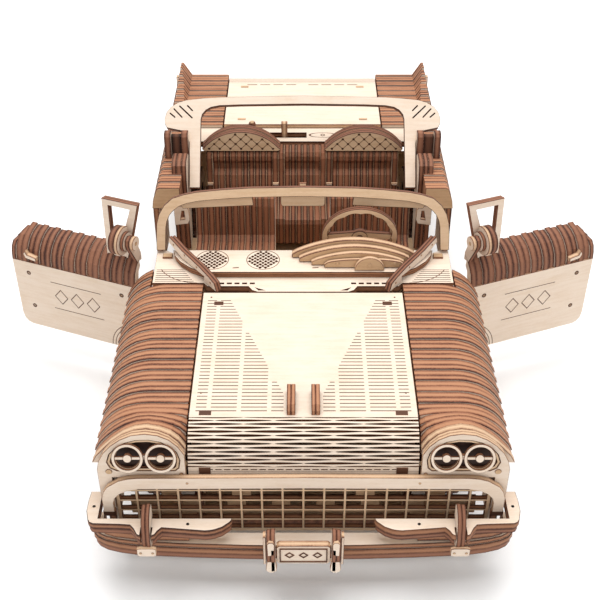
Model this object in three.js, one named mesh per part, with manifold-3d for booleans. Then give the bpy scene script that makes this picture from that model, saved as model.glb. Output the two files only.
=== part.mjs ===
// Laser-cut plywood model of a finned four-seat cabriolet, standing on its wheels with its doors open.
// Millimetres. +Z is up, -Y is the front, +X is the driver's (left) side. Z = 0 is the ground.
import * as THREE from 'three';
import { mergeVertices } from 'three/addons/utils/BufferGeometryUtils.js';
import Module from 'manifold-3d';

const wasm = await Module();
wasm.setup();

// Driving dimensions
const SHEET = 3; // thickness of every plywood sheet
const GAP = 0.3; // clearance between neighbouring sheets
const DECK = 62; // height of the bonnet and boot decks
const BODY_X = 70.3; // half width over the flat lower sides
const BULGE_X = 73; // half width over the layered front fenders
const BUMPER_X = 71.4; // inner edge of both bumpers where they wrap round the sides
const BELT = 50; // height where the layered fender starts above the flat side
const SILL = 16.3; // height of the lower edge of the sides
const LID_X = 39.7; // half width of the bonnet and the boot lid
const FENDER_X = 40.4; // inner edge of the fender decks
const NOSE_Y = -132.4; // front end of the front fender stacks
const GRILLE_Y = -139; // front face of the grille frame
const COWL_Y = -51; // rear edge of the bonnet
const DASH_Z = 65; // top of the raised dash plate
const FENDER_END_Y = -32.4; // rear end of the front fenders
const QUARTER_Y = 30.2; // front end of the rear fenders
const BOOT_Y = 90.6; // front edge of the boot lid
const TAIL_Y = 148; // rear end of the rear fenders
const WHEEL_R = 20;
const WHEEL_WIDTH = 8;
const WHEEL_X = 56; // centre plane of each wheel
const FRONT_AXLE_Y = -93;
const REAR_AXLE_Y = 81;
const ARCH_R = 24; // wheel arch radius
const AXLE_R = 2;
const KINGPIN_X = 45.5;
const RAIL_X = 36.3; // inner face of the chassis rails
const DOOR_HINGE_Y = -31.8;
const DOOR_LENGTH = 61;
const DOOR_OPEN = 69; // degrees from closed
const GEAR_MODULE = 0.8;
const AXLE_TEETH = 32;
const PINION_TEETH = 16;
const PINION_RISE = 38; // degrees above the level line through the rear axle
const WINDSCREEN_LEAN = 17; // degrees back from upright
const HOOP_LEAN = 45;
const COLUMN_TILT = 10;
const WHEEL_CENTRE = [24, -16, 66]; // steering wheel

const CREAM = '#f3dfc0';
const EDGE = '#7a4a35';
const DARK = '#5b3527';
const TAN = '#c79a72';

const car = new THREE.Group();
const radians = THREE.MathUtils.degToRad;

// Outlines ---------------------------------------------------------------------------------------

function arc(cx, cy, r, from, to, steps) {
  const points = [];
  for (let i = 0; i <= steps; i += 1) {
    const a = radians(from + ((to - from) * i) / steps);
    points.push([cx + r * Math.cos(a), cy + r * Math.sin(a)]);
  }
  return points;
}

function ring(cx, cy, r, steps) {
  return arc(cx, cy, r, 0, 360 - 360 / steps, steps - 1);
}

function rectangle(x0, y0, x1, y1) {
  return [[x0, y0], [x1, y0], [x1, y1], [x0, y1]];
}

// Mirrors a half outline, given from one end of the centre line to the other, into a whole one.
function symmetric(half) {
  const other = half.filter(([x]) => Math.abs(x) > 1e-6).map(([x, y]) => [-x, y]).reverse();
  return [...half, ...other];
}

function toSide(points, side) {
  return points.map(([x, y]) => [side * x, y]);
}

// Sheets -----------------------------------------------------------------------------------------

function sheet(points, thickness, holes = []) {
  const shape = new THREE.Shape(points.map(([x, y]) => new THREE.Vector2(x, y)));
  for (const hole of holes) {
    shape.holes.push(new THREE.Path(hole.map(([x, y]) => new THREE.Vector2(x, y))));
  }
  return new THREE.ExtrudeGeometry(shape, { depth: thickness, bevelEnabled: false, steps: 1 });
}

// A level sheet: outline in X and Y, from z upwards.
function level(points, z, thickness, holes) {
  return sheet(points, thickness, holes).translate(0, 0, z);
}

// A sheet across the car: outline in X and Z, from y backwards.
function across(points, y, thickness, holes) {
  return sheet(points, thickness, holes).rotateX(Math.PI / 2).translate(0, y + thickness, 0);
}

// A sheet along the car: outline in Y and Z, from x towards +X.
function along(points, x, thickness, holes) {
  const turn = new THREE.Matrix4().makeBasis(
    new THREE.Vector3(0, 1, 0), new THREE.Vector3(0, 0, 1), new THREE.Vector3(1, 0, 0));
  return sheet(points, thickness, holes).applyMatrix4(turn).translate(x, 0, 0);
}

// The same sheet on either side of the car, between x and x + thickness from the middle.
function alongSide(points, side, x, thickness, holes) {
  return along(points, side > 0 ? x : -x - thickness, thickness, holes);
}

// A round bar along X.
function barX(r, x0, x1, y, z, steps = 16) {
  return along(ring(y, z, r, steps), x0, x1 - x0);
}

// Solids -----------------------------------------------------------------------------------------

function solid(geometry) {
  const bare = geometry.clone();
  bare.deleteAttribute('normal');
  bare.deleteAttribute('uv');
  const merged = mergeVertices(bare, 1e-4);
  return new wasm.Manifold(new wasm.Mesh({
    numProp: 3,
    vertProperties: new Float32Array(merged.attributes.position.array),
    triVerts: new Uint32Array(merged.index.array),
  }));
}

function toGeometry(manifold) {
  const mesh = manifold.getMesh();
  const geometry = new THREE.BufferGeometry();
  geometry.setAttribute('position', new THREE.BufferAttribute(new Float32Array(mesh.vertProperties), 3));
  geometry.setIndex(new THREE.BufferAttribute(new Uint32Array(mesh.triVerts), 1));
  geometry.computeVertexNormals();
  return geometry;
}

function join(...geometries) {
  let whole = solid(geometries[0]);
  for (const geometry of geometries.slice(1)) whole = whole.add(solid(geometry));
  return toGeometry(whole);
}

function cut(geometry, ...tools) {
  let whole = solid(geometry);
  for (const tool of tools) whole = whole.subtract(solid(tool));
  return toGeometry(whole);
}

function add(name, geometry, colour, parent = car) {
  const material = new THREE.MeshStandardMaterial({ color: colour, roughness: 0.75, metalness: 0 });
  const mesh = new THREE.Mesh(geometry, material);
  mesh.name = name;
  parent.add(mesh);
  return mesh;
}

const SIDES = [['left', 1], ['right', -1]];

// Chassis ----------------------------------------------------------------------------------------

function chassisPlate() {
  const wide = 61;
  const narrow = 40;
  const well = ARCH_R + 1;
  const half = [
    [0, -128], [wide, -128],
    [wide, FRONT_AXLE_Y - well], [narrow, FRONT_AXLE_Y - well],
    [narrow, FRONT_AXLE_Y + well], [wide, FRONT_AXLE_Y + well],
    [wide, REAR_AXLE_Y - well], [narrow, REAR_AXLE_Y - well],
    [narrow, REAR_AXLE_Y + well], [wide, REAR_AXLE_Y + well],
    [wide, 145], [0, 145],
  ];
  const gearSlot = rectangle(-2.6, REAR_AXLE_Y - 15, 2.6, REAR_AXLE_Y + 15);
  add('chassis_plate', level(symmetric(half), 13, SHEET, [gearSlot]), CREAM);
}

function pinionCentre() {
  const reach = (GEAR_MODULE * (AXLE_TEETH + PINION_TEETH)) / 2;
  const rise = radians(PINION_RISE);
  return [REAR_AXLE_Y + reach * Math.cos(rise), WHEEL_R + reach * Math.sin(rise)];
}

function chassisRails() {
  const beam = 4.4;
  const outline = [
    [-126, SILL], [FRONT_AXLE_Y - beam, SILL], [FRONT_AXLE_Y - beam, 24.4],
    [FRONT_AXLE_Y + beam, 24.4], [FRONT_AXLE_Y + beam, SILL],
    [144, SILL], [144, 44], [80, 44], [76, 20.5], [-38, 20.5], [-41, 50], [-126, 50],
  ];
  const [pinionY, pinionZ] = pinionCentre();
  const holes = [ring(REAR_AXLE_Y, WHEEL_R, AXLE_R + 0.35, 16), ring(pinionY, pinionZ, 1.85, 12)];
  for (const [name, side] of SIDES) {
    add(`${name}_chassis_rail`, alongSide(outline, side, RAIL_X, SHEET, holes), CREAM);
  }
}

function frontAxleBeam() {
  const half = [
    [0, 17], [41, 17], [41, 11], [49, 11], [49, 14], [43.2, 14],
    [43.2, 27], [49, 27], [49, 30], [41, 30], [41, 24], [0, 24],
  ];
  const beam = across(symmetric(half), FRONT_AXLE_Y - 4, 8);
  const pins = SIDES.map(([, side]) =>
    new THREE.CylinderGeometry(1.35, 1.35, 30, 12).rotateX(Math.PI / 2)
      .translate(side * KINGPIN_X, FRONT_AXLE_Y, WHEEL_R));
  add('front_axle_beam', cut(beam, ...pins), TAN);
}

function firewall() {
  const outline = symmetric([[0, 20.9], [58, 20.9], [58, 58.6], [0, 58.6]]);
  add('firewall', across(outline, -36, SHEET), TAN);
}

// Body -------------------------------------------------------------------------------------------

// Section of a front fender: a deck that rolls over into the bulged upper side.
function fenderSection(inner) {
  return [
    [inner, DECK], [55, DECK], [60, 61.4], [64.5, 59.8], [68.4, 57], [71.4, 53.4], [BULGE_X, BELT],
    [67.4, BELT], [66.4, 53.4], [63.8, 56.4], [59, 58.6], [54, 59], [inner, 59],
  ];
}

function frontFenders() {
  const corner = -44.8;
  for (const [name, side] of SIDES) {
    const long = across(toSide(fenderSection(FENDER_X), side), NOSE_Y, corner - NOSE_Y);
    const short = across(toSide(fenderSection(61.9).filter(([x]) => x > 61), side),
      corner - 0.5, FENDER_END_Y - corner + 0.5);
    add(`${name}_front_fender`, join(long, short), EDGE);
  }
}

// A flat side with its wheel arch, between two ends.
function sideOutline(y0, y1, axleY) {
  const drop = WHEEL_R - SILL;
  const foot = (Math.asin(drop / ARCH_R) * 180) / Math.PI;
  return [
    [y0, SILL],
    ...arc(axleY, WHEEL_R, ARCH_R, 180 + foot, -foot, 14),
    [y1, SILL], [y1, BELT - GAP], [y0, BELT - GAP],
  ];
}

function sides() {
  for (const [name, side] of SIDES) {
    const front = sideOutline(NOSE_Y, FENDER_END_Y, FRONT_AXLE_Y);
    const rear = sideOutline(QUARTER_Y, TAIL_Y, REAR_AXLE_Y);
    add(`${name}_front_side`, alongSide(front, side, BODY_X - SHEET, SHEET), CREAM);
    add(`${name}_rear_side`, alongSide(rear, side, BODY_X - SHEET, SHEET), CREAM);
    const sill = rectangle(FENDER_END_Y + 1.2, 13, QUARTER_Y - 1, 22);
    add(`${name}_sill`, alongSide(sill, side, 61.5, 5), TAN);
  }
}

// The quarter behind the door, the deck beside the boot and the fin, as one layered stack.
function rearFenders() {
  const crest = [
    [QUARTER_Y, BELT], [TAIL_Y - 1, BELT], [TAIL_Y + 0.5, 68], [TAIL_Y - 1.5, 70.4],
    [128, 66.4], [110, 64], [BOOT_Y, 62.4], [QUARTER_Y, 61],
  ];
  const section = [
    [57, BELT], [BODY_X, BELT], [69.8, 54], [68.4, 58.4], [67, 62], [65.8, 70.6], [60.4, DECK], [57, DECK],
  ];
  for (const [name, side] of SIDES) {
    const crestStack = solid(alongSide(crest, side, 56, BULGE_X - 56));
    const rolled = solid(across(toSide(section, side), QUARTER_Y, TAIL_Y + 2 - QUARTER_Y));
    const deck = side > 0 ? rectangle(FENDER_X, BOOT_Y, 57.5, TAIL_Y)
      : rectangle(-57.5, BOOT_Y, -FENDER_X, TAIL_Y);
    const whole = crestStack.intersect(rolled).add(solid(level(deck, 56, DECK - 56)));
    add(`${name}_rear_fender`, toGeometry(whole), EDGE);
  }
}

// Nose -------------------------------------------------------------------------------------------

// Headlight panel: an arched head over the twin lamps and a tail down to the bumper.
function headlightPanels() {
  const face = NOSE_Y - 3.3;
  for (const [name, side] of SIDES) {
    const outline = [
      [FENDER_X, 46.2], [66, 46.2], [66, 31], [70.8, 31], [70.8, 50],
      [68.6, 56], [65.4, 61], [61, 64.4], [56, 67], [50.6, 67], [46, 65], [42.4, 61], [FENDER_X, 56],
    ];
    add(`${name}_headlight_panel`, across(toSide(outline, side), face, SHEET), CREAM);
    add(`${name}_headlights`, headlights(side, face - GAP), CREAM);
  }
}

// Twin lamp rings with a bar and a hub across each, joined where they nearly touch.
function headlights(side, back) {
  const height = 56.7;
  const rings = [59.4, 48.2].map((x) => across(ring(side * x, height, 5.6, 20), back - 2, 2,
    [[...arc(side * x, height, 4, 12, 168, 6)], [...arc(side * x, height, 4, 192, 348, 6)]]));
  const bridge = across(rectangle(side * 53.8 - 1, height - 1, side * 53.8 + 1, height + 1), back - 2, 2);
  return join(...rings, bridge);
}

function grille() {
  const arch = [
    [70.2, 31], [70.2, 38], [68, 43], [63.5, 46.6], [57, 48], [0, 48.4],
  ];
  const mouth = [[0, 43], [60, 42.2], [64, 40], [66.4, 36], [66.4, 31]];
  const frame = [...arch, ...toSide(arch, -1).reverse().slice(1), ...toSide(mouth, -1).reverse(),
    ...mouth.slice(1)];
  add('grille_frame', across(frame, GRILLE_Y, SHEET), CREAM);

  const holes = [];
  const pitch = 7.3;
  const rise = 5;
  const bar = 1;
  for (let column = -9; column <= 8; column += 1) {
    for (let row = 0; row < 5; row += 1) {
      const x = (column + 0.5) * pitch;
      const z = 20.1 + row * rise;
      const outside = Math.abs(x) > 60 && row === 4;
      if (!outside) {
        holes.push(across(rectangle(x - (pitch - bar) / 2, z, x + (pitch - bar) / 2, z + rise - bar),
          GRILLE_Y + 3, 3));
      }
    }
  }
  const lattice = symmetric([[0, 18.4], [65.7, 18.4], [65.7, 38.5], [62.5, 43.6], [0, 45.4]]);
  add('grille_lattice', cut(across(lattice, GRILLE_Y + 3.3, 2), ...holes), CREAM);
}

function frontBumper() {
  const back = GRILLE_Y - 0.4;
  const stack = symmetric([
    [0, -147], [58, -145], [70, -142.5], [74.4, -139.5], [75.4, -136], [75.4, -131],
    [BUMPER_X, -131], [BUMPER_X, back], [62, back], [50, back - 1.2], [0, back - 1.2],
  ]);
  add('front_bumper', level(stack, 15.4, 8.1), EDGE);

  for (const [name, side] of SIDES) {
    const wing = [
      [24.8, -142.4], [25.6, -143.6], [30.4, -147.4], [34, -148], [48.9, -146.6], [51, -149.6],
      [52.2, -150.2], [52.2, -146.6], [56, -146.6], [56, -150.2], [57.2, -149.6], [60, -145.4],
      [72.9, -144.8], [75, -143], [76, -139], [75.6, -130], [BUMPER_X, -130], [BUMPER_X, -142.4],
    ];
    const post = [[40, -145], [57, -144.6], [70, -142], [BUMPER_X, -140], [BUMPER_X, back], [40, back]];
    const stand = join(level(toSide(wing, side), 27.5, 5.4), level(toSide(post, side), 23.8, 3.8));
    add(`${name}_bumper_wing`, stand, CREAM);
    const blade = [
      [-147, 25.4], [-147, 33.2], [-141.2, 33.2], [-140.9, 38], [-142.4, 40], [-144.6, 39.8],
      [-147.4, 38], [-149.4, 34.6], [-150.6, 30.4], [-150.8, 27], [-149.8, 25.4],
    ];
    add(`${name}_overrider`, alongSide(blade, side, 52.6, SHEET), DARK);
  }

  const guard = [[-155, 20], [-153.5, 18.4], [-147.4, 18.4], [-147.4, 33.5], [-150.5, 36.5],
    [-154, 35], [-155, 31]];
  const guards = SIDES.map(([, side]) => alongSide(guard, side, 9.7, SHEET));
  const tie = across(rectangle(-10, 19.4, 10, 21.4), -150.4, SHEET);
  add('plate_bracket', join(...guards, tie), CREAM);
  add('number_plate', across(rectangle(-9.2, 21.9, 9.2, 31), -153.6, SHEET), CREAM);
}

function tail() {
  const outline = symmetric([
    [0, SILL], [69.5, SILL], [69.5, 60], [FENDER_X, 60], [FENDER_X, 46], [0, 46],
  ]);
  const lamps = SIDES.map(([, side]) => across(ring(side * 55, 49, 6.5, 20), TAIL_Y + 3, 1.8));
  add('rear_panel', join(across(outline, TAIL_Y + 0.8, SHEET), ...lamps), CREAM);
  const bumper = symmetric([
    [0, 155], [64, 155], [72.5, 153.4], [75.4, 149], [75.4, 136],
    [BUMPER_X, 136], [BUMPER_X, TAIL_Y + 2.4], [BUMPER_X - 1.4, TAIL_Y + 4.2], [0, TAIL_Y + 4.2],
  ]);
  add('rear_bumper', level(bumper, 20, 12), EDGE);
}

// Cockpit ----------------------------------------------------------------------------------------

// The cowl panels with the raised dash plate on them, bored for the steering column.
function dashTop() {
  const cowl = [
    [0, -50.3], [19, -50.3], [22, -46.6], [38.6, -46.6], [40.2, -44.4], [61, -44.4], [61.3, -21.5],
    [57.6, -21.5], [53, -24], [40, -25.5], [0, -25.5],
  ];
  const plate = [
    [0, -41], [40.6, -41], [46, -38], [50.5, -33.6], [53, -29.5], [54, -25.5], [0, -25.5],
  ];
  const whole = join(level(symmetric(cowl), DECK - SHEET, SHEET),
    level(symmetric(plate), DECK - 0.5, DASH_Z - DECK + 0.5));
  add('dash_top', cut(whole, columnBar(1.9, 13)), CREAM);
}

// The hooded cluster in front of the driver.
function instrumentBinnacle() {
  const base = DASH_Z + GAP;
  const arch = (x0, x1, rise) => {
    const points = [[x0, base], [x1, base]];
    for (let i = 0; i <= 12; i += 1) {
      const t = i / 12;
      points.push([x1 + (x0 - x1) * t, base + 1.6 + rise * Math.sin(Math.PI * t) ** 0.8]);
    }
    return points;
  };
  const hood = across(arch(-4.5, 46, 7), -31.3, SHEET);
  const middle = across(arch(-1.5, 43.6, 6), -34.3, SHEET + 0.2);
  const face = across(arch(8.7, 41.2, 4.2), -37.3, SHEET + 0.2);
  const boss = across(arc(27, base, 6, 0, 180, 10), -40.4, SHEET + 0.2);
  add('instrument_binnacle', join(hood, middle, face, boss), TAN);
}

// A bar down the steering column from the wheel's centre.
function columnBar(r, length) {
  return new THREE.CylinderGeometry(r, r, length, 12)
    .translate(0, -length / 2, 0)
    .rotateX(radians(COLUMN_TILT))
    .translate(...WHEEL_CENTRE);
}

function windscreen() {
  const half = [
    [57.6, 0.4], [61.3, 0.4], [61, 11], [58.8, 18.4], [54, 22.8], [44, 25.4], [22, 27.2], [0, 27.6],
    [0, 23.6], [22, 23.2], [43, 21.6], [51.2, 19.4], [55.2, 15.8], [57, 10.4],
  ];
  const other = half.slice(0, 8).map(([x, z]) => [-x, z]).reverse().slice(1);
  const inside = half.slice(9).map(([x, z]) => [-x, z]).reverse();
  const frame = [...half.slice(0, 8), ...other, ...inside, ...half.slice(8)];
  const geometry = across(frame, 0, 4).rotateX(-radians(WINDSCREEN_LEAN)).translate(0, -23.6, DECK + 1.2);
  add('windscreen_frame', geometry, CREAM);

  const blade = [
    [0, 0.3], [8.4, 0.3], [8.4, 3.3], [24, 3.3], [34, 6.4], [33.2, 9.4], [24, 7.4], [12, 6.2], [1.4, 3.6],
  ];
  for (const [name, side] of SIDES) {
    const heading = side > 0 ? 51.2 : 128.8;
    const rail = sheet(blade, SHEET).rotateX(Math.PI / 2).translate(0, SHEET / 2, 0)
      .rotateZ(radians(heading)).translate(side * 33.5, -50, DECK);
    add(`${name}_windscreen_rail`, rail, DARK);
  }

  const mirror = join(
    across([[-8.6, -2.6], [8.6, -2.6], [9.2, 0], [8.6, 2.6], [-8.6, 2.6], [-9.2, 0]], 0, SHEET),
    across(rectangle(-1.4, 2, 1.4, 7), 0, SHEET));
  add('rear_view_mirror', mirror.rotateX(-radians(WINDSCREEN_LEAN)).translate(0, -12.6, 81.5), TAN);
}

function seats() {
  const bucket = [
    [2, 20.9], [36, 20.9], [39, 52], [36, 55], [31, 54.4], [26.5, 35], [6, 34], [2, 31],
  ];
  for (const [name, side] of SIDES) {
    add(`${name}_front_seat`, alongSide(bucket, side, 13, 37), DARK);
  }
  const bench = [
    [44, 20.9], [64, 20.9], [67, 37], [75.6, 45], [75.6, 57], [73, 60], [66, 60], [60, 38], [44, 34.5],
  ];
  add('rear_seat', along(bench, -47, 94), DARK);

  const moon = [[19, 0], [19, 1.4], ...arc(0, -13.2, 23.5, 39, 141, 12), [-19, 1.4], [-19, 0]];
  for (const [name, side] of SIDES) {
    add(`${name}_headrest`, across(moon, 0, 9).translate(side * 30, 66.2, 60.3), CREAM);
  }
}

function shelfAndHoop() {
  const slot = rectangle(-18, 80.4, 2, 85.6);
  const knobSlot = rectangle(-26.5, 78.6, -23.5, 85.4);
  add('parcel_shelf', level(rectangle(-54, 76.4, 54, BOOT_Y - 0.5), 57, SHEET, [slot, knobSlot]), CREAM);

  const outer = [[49, 0], [54, 0], [54.4, 22], [58, 28], [65.4, 29.6], [66.6, 34], [64, 40], [56, 43.4],
    [40, 44.8], [0, 45.6]];
  const inner = [[0, 41.4], [40, 40.6], [46.6, 38.4], [49, 33.6]];
  const frame = [...outer, ...toSide(outer, -1).reverse().slice(1),
    ...toSide(inner, -1).reverse(), ...inner];
  const hoop = across(frame, 0, SHEET).rotateX(-radians(HOOP_LEAN)).translate(0, 45, 52.4);
  add('rear_hoop', hoop, CREAM);
}

function engine() {
  const notch = 4.6;
  const lower = [
    [-112, SILL], [FRONT_AXLE_Y - notch, SILL], [FRONT_AXLE_Y - notch, 24.4],
    [FRONT_AXLE_Y + notch, 24.4], [FRONT_AXLE_Y + notch, SILL], [-62, SILL], [-62, 38], [-112, 38],
  ];
  const block = join(along(lower, -13, 26), level(rectangle(-19, -108, 19, -66), 36, 9));
  const bore = new THREE.CylinderGeometry(1.9, 1.9, 20, 12).translate(0, -116, 34);
  add('engine_block', cut(block, bore), TAN);
  const blade = [];
  for (let i = 0; i < 4; i += 1) {
    const start = i * 90;
    blade.push(...arc(0, 0, 9, start - 16, start + 16, 3), ...arc(0, 0, 3.4, start + 36, start + 54, 1));
  }
  const fan = join(across(blade, -3, 2), across(ring(0, 0, 1.5, 12), -2, 11));
  add('engine_fan', fan, CREAM).position.set(0, -115.4, 34);
}

// Lids -------------------------------------------------------------------------------------------

function bonnet() {
  const top = [[COWL_Y, DECK], [-116, DECK], [-124, 61.2], [-129.6, 58.6], [-133.4, 53.6], [-134.9, 46.6]];
  const under = [[-131.9, 46.6], [-130.6, 52.4], [-127.6, 56.2], [-123.2, 58.3], [-116, 59], [COWL_Y, 59]];
  const skin = along([...top, ...under], -LID_X, 2 * LID_X);
  const fin = [[-121, DECK - 0.5], [-109, DECK - 0.5], [-109, DECK + 3.4], [-119.5, DECK + 3.4]];
  const fins = [-5.8, 2.8].map((x) => along(fin, x, SHEET));
  add('bonnet', join(skin, ...fins), CREAM);
}

function bootLid() {
  const top = [[BOOT_Y, DECK], [138, DECK], [146, 60.8], [150.6, 57], [152.2, 46.8]];
  const under = [[149.2, 46.8], [148, 55.2], [145, 58], [138, 59], [BOOT_Y, 59]];
  add('boot_lid', along([...top, ...under], -LID_X, 2 * LID_X), CREAM);
}

// Doors ------------------------------------------------------------------------------------------

// Built closed, along +Y from the hinge line, with its outer face at x = 0, then turned open.
function door(name, side) {
  const inward = (x) => -side * x;
  const from = (points) => points.map(([x, z]) => [inward(x), z]);
  const skin = [[0.4, 14.6], [58, 14.6], [60.4, 17], [DOOR_LENGTH, 22], [DOOR_LENGTH, 52], [0.4, 52]];
  const roll = [[0, BELT], [0.6, 54], [3, 58.4], [7, 61.6], [12, 63], [12, 59.6], [8, 58.4], [4.6, 55.6],
    [3.4, BELT]];
  const front = [[0, BELT], [0.6, 54], [3, 58.4], [6, 61], [6, 57.2], [4.6, 55.6], [3.4, BELT]];
  const vent = [[5.6, 60], [15.6, 60], [15, 87.8], [-1.6, 87.8]];
  const glass = [[8.6, 66], [12.6, 66], [12.2, 85], [2.2, 85]];
  const tip = [[54, 64], [62, 64], [62, 56.6]];
  const skinX = side > 0 ? -SHEET : 0;
  const ventX = side > 0 ? -8.6 : 5.6;
  const arm = [[8.2, 59.4], [8.2, 63], [4.4, 73.4], [2, 74.6], [-0.6, 73], [-0.8, 70.4], [4.6, 60]];
  const head = new THREE.CylinderGeometry(6.2, 6.2, 4.4, 20).translate(inward(2), 6.4, 71.6);
  const hub = new THREE.CylinderGeometry(3, 3, 6, 14).translate(inward(2), 1.8, 71.6);
  const leaf = join(
    along(skin, skinX, SHEET),
    cut(across(from(roll), 14.4, DOOR_LENGTH - 14.4), along(tip, -20, 40)),
    across(from(front), 0.4, 14.4),
    along(vent, ventX, SHEET, [glass]),
    across(from(arm), 0.4, SHEET),
    head, hub);
  const hinge = new THREE.Group();
  hinge.position.set(side * BODY_X, DOOR_HINGE_Y, 0);
  hinge.rotation.z = -side * radians(DOOR_OPEN);
  car.add(hinge);
  add(`${name}_door`, leaf, CREAM, hinge);
}

// Steering and wheels ----------------------------------------------------------------------------

function steeringWheel() {
  const rim = sheet(ring(0, 0, 16, 32), 2.4, [
    arc(0, 0, 13.4, 18, 162, 12),
    [...arc(0, 0, 13.4, 198, 262, 6), ...arc(0, 0, 3.4, 262, 198, 3)],
    [...arc(0, 0, 13.4, 278, 342, 6), ...arc(0, 0, 3.4, 342, 278, 3)],
  ]);
  const face = rim.translate(0, 0, -1.2).rotateX(Math.PI / 2).rotateX(radians(COLUMN_TILT))
    .translate(...WHEEL_CENTRE);
  add('steering_wheel', join(face, columnBar(1.4, 11.5)), TAN);
}

function tyreOutline() {
  const points = [];
  const treads = 24;
  for (let i = 0; i < treads; i += 1) {
    const a = (360 / treads) * i;
    points.push(...arc(0, 0, WHEEL_R, a - 5, a + 5, 2), ...arc(0, 0, WHEEL_R - 0.7, a + 6, a + 9, 1));
  }
  return points;
}

// A wheel about its own centre, with five openings round the hub.
function wheel(boreR) {
  const holes = [ring(0, 0, boreR, 14)];
  for (let i = 0; i < 5; i += 1) {
    const a = 72 * i;
    holes.push([...arc(0, 0, 12, a - 24, a + 24, 4), ...arc(0, 0, 6.4, a + 16, a - 16, 2)]);
  }
  return along(tyreOutline(), -WHEEL_WIDTH / 2, WHEEL_WIDTH, holes);
}

function frontWheels() {
  for (const [name, side] of SIDES) {
    const kingpin = new THREE.CylinderGeometry(1.1, 1.1, 19, 12).rotateX(Math.PI / 2)
      .translate(side * KINGPIN_X, FRONT_AXLE_Y, WHEEL_R + 0.5);
    const hub = new THREE.CylinderGeometry(2, 2, 12.2, 12).rotateX(Math.PI / 2)
      .translate(side * KINGPIN_X, FRONT_AXLE_Y, 20.5);
    const bar = (r, x0, x1) => barX(r, Math.min(side * x0, side * x1), Math.max(side * x0, side * x1),
      FRONT_AXLE_Y, WHEEL_R);
    const inner = WHEEL_X - WHEEL_WIDTH / 2;
    const stub = join(kingpin, hub, bar(3, KINGPIN_X, inner - GAP), bar(AXLE_R, KINGPIN_X, 62.4),
      bar(3, 60.4, 62.4));
    add(`${name}_knuckle`, stub, TAN);
    add(`${name}_front_wheel`, wheel(AXLE_R + 0.3), EDGE)
      .position.set(side * WHEEL_X, FRONT_AXLE_Y, WHEEL_R);
  }
}

// Involute spur gear in the Y and Z plane; phase in degrees turns a tooth onto the +Y axis.
function gearOutline(teeth, phase) {
  const pitchR = (GEAR_MODULE * teeth) / 2;
  const pressure = radians(20);
  const baseR = pitchR * Math.cos(pressure);
  const tipR = pitchR + 0.85 * GEAR_MODULE;
  const rootR = pitchR - 1.2 * GEAR_MODULE;
  const backlash = 0.16;
  const halfPitch = Math.PI / (2 * teeth) - backlash / (2 * pitchR);
  const involute = (r) => {
    const a = Math.acos(Math.min(1, baseR / r));
    return Math.tan(a) - a;
  };
  const halfAngle = (r) => halfPitch + involute(pitchR) - involute(Math.max(r, baseR));
  const radii = [Math.max(baseR, rootR + 0.05), pitchR, tipR];
  const points = [];
  for (let i = 0; i < teeth; i += 1) {
    const centre = radians(phase) + (2 * Math.PI * i) / teeth;
    const at = (r, a) => [r * Math.cos(centre + a), r * Math.sin(centre + a)];
    points.push(at(rootR, -halfAngle(radii[0]) - 0.004));
    for (const r of radii) points.push(at(r, -halfAngle(r)));
    for (const r of [...radii].reverse()) points.push(at(r, halfAngle(r)));
    points.push(at(rootR, halfAngle(radii[0]) + 0.004));
  }
  return points;
}

function drivetrain() {
  const axle = join(
    barX(AXLE_R, -62.4, 62.4, 0, 0),
    along(gearOutline(AXLE_TEETH, PINION_RISE), -1.5, SHEET));
  add('rear_axle', axle, TAN).position.set(0, REAR_AXLE_Y, WHEEL_R);
  for (const [name, side] of SIDES) {
    add(`${name}_rear_wheel`, wheel(AXLE_R + 0.3), EDGE)
      .position.set(side * WHEEL_X, REAR_AXLE_Y, WHEEL_R);
  }
  const [y, z] = pinionCentre();
  const half = 180 / PINION_TEETH;
  const pinion = join(
    barX(1.5, -41, 41, 0, 0, 12),
    along(gearOutline(PINION_TEETH, PINION_RISE + 180 + half), -1.5, SHEET));
  add('motor_pinion', pinion, TAN).position.set(0, y, z);
}

function levers() {
  const lever = [[81.6, 40], [84.4, 40], [84.4, 67], [81.6, 67]];
  add('drive_lever', along(lever, -10.5, SHEET), TAN);
  const knob = join(
    new THREE.CylinderGeometry(0.9, 0.9, 18, 10).rotateX(Math.PI / 2).translate(-25, 82, 57),
    new THREE.SphereGeometry(1.8, 12, 8).translate(-25, 82, 66.6));
  add('shelf_knob', knob, TAN);
}

chassisPlate();
chassisRails();
frontAxleBeam();
firewall();
frontFenders();
sides();
rearFenders();
headlightPanels();
grille();
frontBumper();
tail();
dashTop();
instrumentBinnacle();
windscreen();
seats();
shelfAndHoop();
engine();
bonnet();
bootLid();
for (const [name, side] of SIDES) door(name, side);
steeringWheel();
frontWheels();
drivetrain();
levers();

export default car;
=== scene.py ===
"""Looks of the laser-cut plywood cabriolet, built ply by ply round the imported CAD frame."""

import math
import random

import bpy
from mathutils import Matrix, Vector
from mathutils.geometry import tessellate_polygon


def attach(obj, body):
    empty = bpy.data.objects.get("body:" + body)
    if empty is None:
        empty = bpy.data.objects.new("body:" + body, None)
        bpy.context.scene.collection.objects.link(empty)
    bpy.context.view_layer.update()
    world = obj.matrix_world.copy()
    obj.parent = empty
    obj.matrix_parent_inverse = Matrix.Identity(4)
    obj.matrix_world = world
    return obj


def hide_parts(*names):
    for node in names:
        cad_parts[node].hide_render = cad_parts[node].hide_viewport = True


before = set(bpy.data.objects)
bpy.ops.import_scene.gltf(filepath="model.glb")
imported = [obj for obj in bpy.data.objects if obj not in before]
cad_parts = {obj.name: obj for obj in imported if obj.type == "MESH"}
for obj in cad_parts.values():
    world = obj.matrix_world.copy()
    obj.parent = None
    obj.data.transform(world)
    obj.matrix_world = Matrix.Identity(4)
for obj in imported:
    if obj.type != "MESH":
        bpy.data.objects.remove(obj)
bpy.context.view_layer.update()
rng = random.Random(58)

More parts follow.
